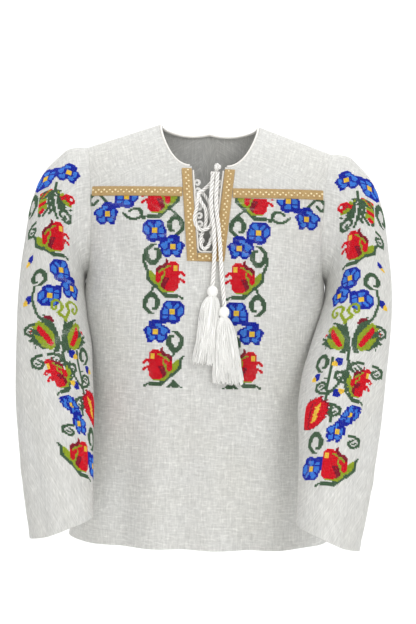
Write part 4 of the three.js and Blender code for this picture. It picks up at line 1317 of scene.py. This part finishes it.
SPIRAL = """
....GGGGG....
...GGGGGGG...
..GGGGGGGGG..
.GGGGGGGGGG..
.GGGG...GGGG.
GGGG.....GGGG
GGGG.....GGGG
GGGG.....GGGG
GGG......GGGG
GGG......GGGG
GGG......GGG.
GGGG...GGGGG.
.GGGG..GGGG..
..GGGG.......
...GGGG......
....GGGGG....
"""
PANSY = """
...BBBBBBBBBBB....
..BBBBBBBBbbbBB...
.BBBbbBBBBbbbbBB..
BBBBbbbBBbbbbbBB..
BBbBBbbbBbbbbBBB..
BbbbBBbbBbbbBBbBB.
BbbbbBBYYYYBbbbBB.
BbbbbBBYYYYBbbbbBB
BbbbbBBYYYYBbbbbBB
BBbbbBBYYYYBbbbbBB
.BBbbBBBbbBBBBBBBB
..BBBBBbbbbBbbbbBB
...BBBbbbbbBBbbbBB
...BBBbbbbbBBBBBBB
...BBBBBBBBBBBBBBB
....BBBBBBBBBBBBBB
......BBBB...BBBBB
"""
VIOLET = """
........BBBBBB......
.......BBBBBBBBB....
......BBBBBBBBBB....
......BbbbbBBBBB....
....BBBbbbbBBBBB....
..BBBbbbbBBBBBBBBB..
.BBbbbbBBbBBBBBbbBB.
BBbbbbbBBYYYYBbbbBBB
BBbbbbbBBYYYYBbbbBBB
BBBbbbbBBYYYYBbbbBB.
..BBbbBBBYYYYBBbbBB.
..BBBBBbbBBBBBbbBB..
..BBbbbbbBBbbbbBBB..
..BBbbbbbBBbbbbbBB..
...BBbbbbBBBbbbBB...
....BBBBBB..BBBBB...
.....BBBB....BBBB...
"""
LEAF = """
.........GGG............
..........GGGG..........
............GGGG........
.........LL..GGGGG......
......LLLLLL.GGGGGG.....
.....LLLLLLLLLGGGGGG....
....LLLLLRLLLLGGGGGGG...
.....LLLRRRLLLLGGGGGG...
.....LLLRRRRLLLLGGGGG...
..RR.GGGRRRRLLLLLGGGGG..
..RRGGGGRRRRRLLLLGGGGG..
..R.GGGGGRRRRRLLLLGGGG..
G....GGGGRRRRRLLLLLGGGG.
GGGG.LGGGGRRRRRLLLLGGGG.
.GGGGGLLGGRRRRRRLLLLGGG.
...GGGLLLLGRRRRRLLLLGGG.
..GGGGLLLLLLRRRRRLLLGGGG
GGGGGGGLLLLLRRRRRLLLGGGG
.GGGGGGGLLLLLRRRRRLLGGGG
....GGGGLLLLLLRRRRLLGGGG
....GGGGGLLLLLRRRRRLGGGG
......GGGGLLLLLRRRRLGGGG
.....G..GGLLLLLLRRLLGGGG
.....G...GGLLLLLLLLLGGG.
..........GGGLLLLLLGGGG.
...............LLL.GGGG.
..................GGGG..
..................GGGG..
"""
TENDRILS = """
.....LLLLL..............
...LLLLLLLL.......LLLL..
..LLLL..LLLL....LLLLLLL.
.LLL......LLL..LLL...LLL
.LLL......LLL..LL.....LL
LLL.......LLL.LLL.....LL
LLL..LL...LLL.LLL..LL.LL
LLL..LLL..LL..LLL..LL.LL
.LL...LL.LLL...LL..LLLLL
.LLL.LLL.LL....LLL..LLL.
..LLLLL..LLL....LLL.....
...LLL...LLL.....LLL....
..........LLL...LLL.....
..........LLL..LLLL.....
...........LLLLLLL......
...........LLLLL........
............LLL.........
............LLL.........
............LL..........
"""
BLUEBUD = """
...BBBB
..BBBBB
..BBBBB
.YYBBBB
YYYYBBB
YYYYBB.
YYYY...
"""
POPPY = """
...........DDD..........
...........DRRR.D.......
......D...DRRRRRRD......
......DDDDRRRRRRRRD.D...
....DDDRRRRRRRRRRRRRD...
....DRRRRRYRRRRDRRRRRD..
..DDRRRRRYYRRRRRDRRRRR..
...DRRRRRYYYRRRRDRRRRR..
..DRRRRRRYYYYRRRDRRRRRD.
.DRRRRRRYYYYRRRRDRRRRRR.
..RRRRRRRYYYYRRDRRRRRRR.
.DRRRRRRYYYYRRRDRRRRRRRD
DRRRRRRRRYYYRRRDRRRRRRR.
.DRRRRRRYYYYRRDRRRRRRRR.
DRRRRRRYYYYRRRDRRRRRRRD.
.RRRRRRRYYYYRRDRRRRRRR..
.DRRRRRYYYYRRRDRRRRRRR..
..RRRRRRYYYRRDRRRRRRRD..
..DRRRRRRYYRRDRRRRRRR...
...RRRRRRRRRDRRRRRRRD...
....DRRRRRRRDRRRRRRD....
.....RRRRRRRDRRRRRD.....
......DRRRRDRRRRDD......
........DDRRRRDD........
"""
BUD = """
..RRRRRR.LL...
.RRRRRRRRLLL..
RR..RRRRRRLLGG
RR..RRRGRRRRGG
RRRRRRRRRRRGG.
.RRRRRGLLRR.GG
..RR..LLLLGGG.
...R.LLLL.GG..
"""
FOLIAGE = """
..........GGGGGG.RRRLGGGGRRR
...........GLGGGGGLLRRGGGLRR
...........LLGGGGGGGLLRRGGLL
......LL..GGGG.GGGGGGLLRRGGG
.....LLL.GG...GGGGGGGGGLLRGG
....RLLL.GGG.GG..GGGGGGGGLLG
..RRRRR..GGGG....GGG.LLLLLLL
.RRRRR..GGGGG....GGGLLLLLLLL
..LLLL.GGGGGG.G..GGG.RRRRRRR
.LLLLLLGGGGGG.GGG.GG.RRRRRRR
.LLLLLGGGGGGG.GGGGGGGGRRRRRR
......GGGGGGG...GGGGLLLLLLLL
GG...GGGGGGG...GGGG.LLLLLLLL
.GG...GGGGGG....GGG.LLLRRLLL
....GGGGGGGG.GG..GGGLLRRRRRL
...GGGGGGGGG.GGG.GGGG.RRRRRG
GGGGGGGGGG....GGGG.GGG.RRRGG
GGGGG...GGG...GGGG..GGG..GGG
GGG......GG.....GGG..GGG.GG.
GG...GG..GG......GG...GG....
GG..GGG.GGG.................
GGG.GGGGGG..................
GGGG.GGG....................
.GGGGGGGG...................
..GGGGG.....................
"""
DARKBUD = """
......GG
..DDDDD.
.DDDDDD.
.DDDDD..
DDDDDG..
DDDDGG..
.DDGG...
"""
TOP_SPIRAL = """
.......GGGGGG....
.....GGGGGGGGG...
....GGG....GGGG..
...GGG......GGGG.
..GGG........GGG.
.GGG...GG....GGG.
GGG....GGG...GGG.
GG......GGG.GGGG.
.........GGGGGG..
..........GGGG...
"""
FLAT_SPIRAL = """
.......GGGGGG....
.....GGGGGGGGG...
....GGG....GGGG..
....GG......GGG..
G...........GGG..
GGG..........GG..
.GGG........GGGG.
..GGGG....GGGGGGG
...GGGGGGGGGG..GG
.....GGGGGG......
"""
CURL = """
.....GGGGGG
..GGGGGGGGG
.GGGGG.....
.GGG..GG...
.GG....GGG.
.GG.GG..GGG
.GGG.GGG.GG
.GGGG...GGG
...GGGGGGG.
.....GGGG..
"""
FOOT = """
....GG......
....GGG.....
...GGGGG....
..GGGGGGG...
.GGGGGGGGG..
GGG.GGGGG.GG
"""


def nearest(value):
    return math.floor(value + 0.5)


def sewn(chart, motif, out, down, outward, slant=0.0):
    """Adds a motif about a place in cells. As charted its right side is towards the middle of the blouse.

    outward turns it the other way, and slant moves it in by so many cells for each cell down.
    """
    lines = motif.split()
    sign = 1 if outward else -1
    for i, line in enumerate(lines):
        for j, letter in enumerate(line):
            if letter != ".":
                lower = i - (len(lines) - 1) / 2
                aside = sign * (j - (len(line) - 1) / 2) - slant * lower
                chart[nearest(down + lower), nearest(out + aside)] = letter


def stem(chart, places):
    """A run of green stitches from place to place, each (out, down), two wide and under what is there."""
    for (a, b), (c, d) in zip(places, places[1:]):
        steps = max(1, round(2 * math.hypot(c - a, d - b)))
        for t in np.linspace(0, 1, steps + 1):
            for k in (0, 1):
                chart.setdefault((nearest(mix(b, d, t)), nearest(mix(a, c, t)) + k), "G")


def turned(motif):
    """The motif upside down."""
    return "\n".join(reversed(motif.split()))


def narrower(motif):
    """The motif at about two thirds of its breadth."""
    lines = motif.split()
    return "\n".join("".join(letter for j, letter in enumerate(line) if j % 3 != 1) for line in lines)


# Each motif of one side of the chest: cells out from the middle and down from the yoke's ribbon, and whether
# it is turned outward.
CHEST = [
    (TOP_SPIRAL, 83, 3.2, True), (PANSY, 60.8, 1.8, True), (VIOLET, 75.4, 13.5, False),
    (FLAT_SPIRAL, 54, 14, False), (ROSE, 33.5, 3.5, True), (SPIRAL, 22.5, 22, True),
    (PANSY, 38.7, 26.5, False), (VIOLET, 25.8, 38.2, False), (turned(SPIRAL), 39.2, 44.5, False),
    (ROSE, 29.9, 62, False), (SPIRAL, 39.4, 80, False), (PANSY, 23.7, 87, True),
    (VIOLET, 34.2, 100.5, True), (turned(SPIRAL), 20.5, 108, True), (ROSE, 29.2, 127, True),
    (FOOT, 20.5, 139.5, False),
]
CHEST_STEMS = [
    [(27, 10.5), (24, 12.5), (21, 15.5)], [(45, 45), (45, 50), (43, 54)], [(37, 67), (38, 70), (39, 73)],
    [(23, 110), (20, 116), (22, 119)],
]
# And of a sleeve: cells out from the band's middle and down from the yoke's height, outward, and any slant.
SLEEVE = [
    (VIOLET, -6, -20, False), (turned(PANSY), 11, -15, False), (SPIRAL, 21, 1, True),
    (FOLIAGE, -1, 8.5, True), (BUD, -9, 2, True), (CURL, 20, 21, False), (ROSE, 2.5, 35.5, False),
    (PANSY, -4, 59.5, False), (VIOLET, -12.5, 71, False), (turned(PANSY), 5, 80, False),
    (SPIRAL, 14, 64, True), (BLUEBUD, 22, 44, False), (BLUEBUD, 23, 84, False), (TENDRILS, -7.5, 91, True),
    (DARKBUD, 6, 98, True), (LEAF, -13.5, 111, True), (LEAF, 11, 109, False), (CURL, 22, 104, False),
    (BLUEBUD, -8, 133, True), (SPIRAL, -20, 134, True), (BLUEBUD, -23, 147, True),
    (turned(CURL), -17.5, 154, True), (CURL, -4.5, 143, True), (CURL, 4.5, 134, True),
    (narrower(ROSE), 8, 146, True, 0.15), (turned(BLUEBUD), -3, 156, False), (CURL, -3, 169, False),
    (POPPY, -18.5, 172, False, 0.4), (narrower(PANSY), 8, 171, False, 0.3),
    (narrower(VIOLET), 0, 184, True, 0.2), (SPIRAL, -14, 193, True), (CURL, 14, 190, False),
    (ROSE, 4, 210, False), (turned(PANSY), -16, 212, True), (CURL, 22, 134, False),
]
SLEEVE_STEMS = [
    [(0, -9), (1, 4), (-1, 14), (-3, 20)], [(17, 72), (18, 84), (14, 94), (8, 102)],
    [(-7, 98), (-3, 112), (-2, 126)], [(-12, 130), (-12, 150), (-11, 162), (-10, 168)],
    [(-2, 126), (-1, 134), (-1, 142), (1, 154), (6, 158)], [(-12, 147), (-15, 147)],
    [(-1, 136), (-6, 152), (-11, 160)], [(-6, 166), (-5, 178)],
]
# The right sleeve's motifs below a row are raised by some cells, and the outer ones moved in.
LOWER = dict(row=120, rise=6, inward=3)

# A band's half width and its reach up and down, in cells. It keeps clear of the armhole, by a share of the
# first section, and of the hem, in mm.
BAND = dict(half=27, up=34, down=228, off_armhole=0.12, off_hem=4)
# Where each band's middle line lies on its sleeve: section, and degrees from the outer point by the front.
LEFT_BAND = [
    (0.9, 34), (1.7, 66), (2.8, 96), (4.2, 108), (5.6, 107), (6.9, 102), (8.4, 106), (10, 108), (12, 108),
]
RIGHT_BAND = [
    (0.9, 34), (1.8, 64), (2.9, 92), (4.2, 106), (5.6, 109), (6.7, 114), (8.4, 136), (10, 142), (12, 143),
]


def band_line(form, line):
    """The middle of a sleeve's band at even cells: the number of its first cell, the turns and the rows."""
    t = np.linspace(0, len(line) - 1, 600)
    row, turn = (along([place[k] for place in line], t) for k in (0, 1))
    middle = sleeve_point(form, turn, row)
    run = run_lengths(middle)
    run -= run[np.abs(middle[:, 2] - SLIT["mark_height"]).argmin()]
    first = max(-BAND["up"], math.ceil(run[0] / CELL))
    last = min(BAND["down"], math.floor((run[-1] - BAND["off_hem"]) / CELL))
    at = np.arange(first, last + 1) * CELL
    return first, np.interp(at, run, turn), np.interp(at, run, row)


def band_grid(form, line):
    """Turns and rows of an even grid of cells, worked out sideways from the band's middle line by steps."""
    first, turn, row = band_line(form, line)
    ahead = np.gradient(sleeve_point(form, turn, row), axis=0)
    turns, rows = {0: turn}, {0: row}
    for hand in (-1, 1):
        u, v, way = turn, row, None
        for k in range(1, BAND["half"] + 1):
            here = sleeve_point(form, u, v)
            across = (sleeve_point(form, u + 1, v) - sleeve_point(form, u - 1, v)) / 2
            down = (sleeve_point(form, u, v + 0.02) - sleeve_point(form, u, np.maximum(v - 0.02, 0))) / 0.04
            out = np.cross(across, down)
            if way is None:
                way = np.cross(ahead, out)
                way *= hand * form["hand"] * np.sign(way[:, :1])
            way = CELL * unit(way - out * ((way * out).sum(1) / (out * out).sum(1))[:, None])
            aa, ad, dd = (across**2).sum(1), (across * down).sum(1), (down**2).sum(1)
            wa, wd = (way * across).sum(1), (way * down).sum(1)
            u = u + (wa * dd - wd * ad) / (aa * dd - ad * ad)
            v = np.clip(v + (wd * aa - wa * ad) / (aa * dd - ad * ad), 0, form["last"])
            way = sleeve_point(form, u, v) - here
            turns[hand * k], rows[hand * k] = u, v
    order = sorted(turns)
    return first, np.stack([turns[k] for k in order], 1), np.stack([rows[k] for k in order], 1)


def cross():
    """One cross stitch, one cell across: two strands of thread that taper into their holes."""
    tip, sunk, inner, side = 0.52, -0.04, 0.2, 0.275
    points, faces = [], []
    for sign, low, high in ((1, -0.03, 0.17), (-1, 0.12, 0.33)):
        n = len(points)
        points.append((-tip, -tip * sign, sunk))
        for at in (-inner, inner):
            points += [(at - side, (at + side) * sign, low), (at, at * sign, high)]
            points.append((at + side, (at - side) * sign, low))
        points.append((tip, tip * sign, sunk))
        for k in range(3):
            a, b = n + 1 + k, n + 1 + (k + 1) % 3
            strip = [(n, b, a), (a, b, b + 3, a + 3), (n + 7, a + 3, b + 3)]
            faces += strip if sign > 0 else [face[::-1] for face in strip]
    return small_shape("cross", points, faces)


def embroidered(name, letters, here, right, up, out):
    """One cross stitch on each place of the cloth; right and up are the ways of one mm of cloth there."""
    count = len(letters)
    tint = np.array([THREADS[letter] for letter in letters])
    tint[:, :3] *= RNG.uniform(0.88, 1.1, (count, 1))
    long = np.linalg.norm
    on_cloth = long(out, axis=1) > 0
    tint, here, right, up, out = (values[on_cloth] for values in (tint, here, right, up, out))
    size = np.stack([long(right, axis=1), long(up, axis=1), np.ones(len(here))], -1) * CELL * MM
    piece = scattered(name, CROSS, here, frames(up, out), size, COTTON, tint)
    corners = np.zeros(len(piece.data.loops), int)
    piece.data.loops.foreach_get("vertex_index", corners)
    shape = np.array([v.co[:2] for v in CROSS.data.vertices])
    stitch, corner = corners // len(shape), corners % len(shape)
    wide = math.ceil(math.sqrt(count))
    place = np.stack([stitch % wide, stitch // wide], -1)
    add_uv(piece.data, "OFBake", (place + 0.5 + 0.92 * shape[corner]) / wide)
    kept(piece, "linen")


def chest_stitches():
    """Both sides of the chest from one chart, with rows above its first where the ribbon has risen."""
    chart = {}
    for motif in CHEST:
        sewn(chart, *motif)
    for places in CHEST_STEMS:
        stem(chart, places)
    cells = sorted((down, out) for down, out in chart if down >= (1 if out < 58 else -2))
    down, out = np.array(cells).T
    for side, hand in HANDS:
        frame_there = front_frame(hand * CELL * out, SLIT["mark_height"] - CELL * down, STITCH_LIFT)
        embroidered("chest_stitches_" + side, [chart[cell] for cell in cells], *frame_there)


def sleeve_stitches(side, form, line):
    chart = {}
    rise, inward = (LOWER["rise"], LOWER["inward"]) if side == "right" else (0, 0)
    for motif, out, down, outward, *slant in SLEEVE:
        low = down > LOWER["row"]
        sewn(chart, motif, out - inward * (low and out > 5), down - rise * low, outward, *slant)
    for places in SLEEVE_STEMS:
        stem(chart, [(out, down - rise * (down > LOWER["row"])) for out, down in places])
    first, turns, rows = band_grid(form, line)
    grid = on_sleeve(form, turns, rows, STITCH_LIFT)
    right = np.gradient(grid, axis=1) / CELL * form["hand"]
    up = -np.gradient(grid, axis=0) / CELL
    cells = [
        (down, out) for down, out in sorted(chart)
        if 0 < down - first < len(grid) - 1 and abs(out) <= BAND["half"]
        and rows[down - first, out + BAND["half"]] > BAND["off_armhole"]
    ]
    at = tuple((np.array(cells) + [-first, BAND["half"]]).T)
    letters = [chart[cell] for cell in cells]
    embroidered("sleeve_stitches_" + side, letters, grid[at], right[at], up[at], np.cross(right, up)[at])


DOME, PICOT, CROSS = dome(), picot(), cross()
slit_binding()
neck_binding()
all_ribbons()
for side, hand in HANDS:
    for loop in range(LOOP["count"]):
        loop_ring(side, hand, loop)
lacing()
tie_knot()
chest_stitches()
sleeve_stitches("left", LEFT, LEFT_BAND)
sleeve_stitches("right", RIGHT, RIGHT_BAND)


# ---- the place it stands in --------------------------------------------------------------------------
def studio():
    """A pale floor that turns up softly into a pale wall behind, which is clear when seen from its back."""
    half, floor, back, bend = 3800, -1100, 1200, 900
    profile = [(-4000, 0), (back, 0)]
    profile += [
        (back + bend * math.sin(a), bend - bend * math.cos(a)) for a in np.radians([15, 30, 45, 60, 75, 90])
    ]
    profile.append((back + bend, 3400))
    points = [(x, y, floor + z) for y, z in profile for x in (-half, half)]
    faces = [(2 * i, 2 * i + 1, 2 * i + 3, 2 * i + 2) for i in range(len(profile) - 1)]
    sweep = new_object("studio_sweep", mesh_of("studio_sweep", points, faces))
    wall = Finish("pale_paint", Roughness=0.9)
    speckle = wall.noise(wall.place(), 14.0, 3.0)
    wall.feed("Base Color", wall.colours(speckle, colour(244, 244, 243), colour(248, 248, 247)))
    links, nodes = wall.tree.links, wall.tree.nodes
    one_sided = nodes.new("ShaderNodeMixShader")
    links.new(nodes.new("ShaderNodeNewGeometry").outputs["Backfacing"], one_sided.inputs["Fac"])
    links.new(wall.surface.outputs["BSDF"], one_sided.inputs[1])
    links.new(nodes.new("ShaderNodeBsdfTransparent").outputs["BSDF"], one_sided.inputs[2])
    links.new(one_sided.outputs["Shader"], nodes["Material Output"].inputs["Surface"])
    sweep.data.materials.append(wall.material)


def light(name, place, aim, size, power):
    data = bpy.data.lights.new(name, "AREA")
    data.shape, data.size, data.size_y, data.energy = "RECTANGLE", *size, power
    lamp = bpy.data.objects.new(name, data)
    bpy.context.collection.objects.link(lamp)
    lamp.location = place
    lamp.rotation_euler = (Vector(aim) - Vector(place)).to_track_quat("-Z", "Y").to_euler()


def studio_light():
    """Soft pale light all round, a key from the front right and the backdrop's own light."""
    world = bpy.data.worlds.new("studio_air")
    bpy.context.scene.world = world
    world.use_nodes = True
    air = world.node_tree.nodes["Background"]
    air.inputs["Color"].default_value = (1, 1, 1, 1)
    air.inputs["Strength"].default_value = 0.62
    light("key", (1.5, -2.6, 1.3), (0, 0, -0.3), (1.5, 1.5), 37)
    light("fill", (-2.2, -2.2, 0.2), (0, 0, -0.3), (1.8, 1.8), 8)
    light("low_front", (-0.1, -3.0, -0.7), (0, 0, -0.4), (1.6, 1.2), 16)
    light("backdrop", (0, 0.5, 2.6), (0, 1.6, -0.6), (3.0, 1.2), 62)
    bpy.context.scene.view_settings.view_transform = "Standard"


studio()
studio_light()
for shape in (DOME, PICOT, CROSS):
    bpy.data.objects.remove(shape)
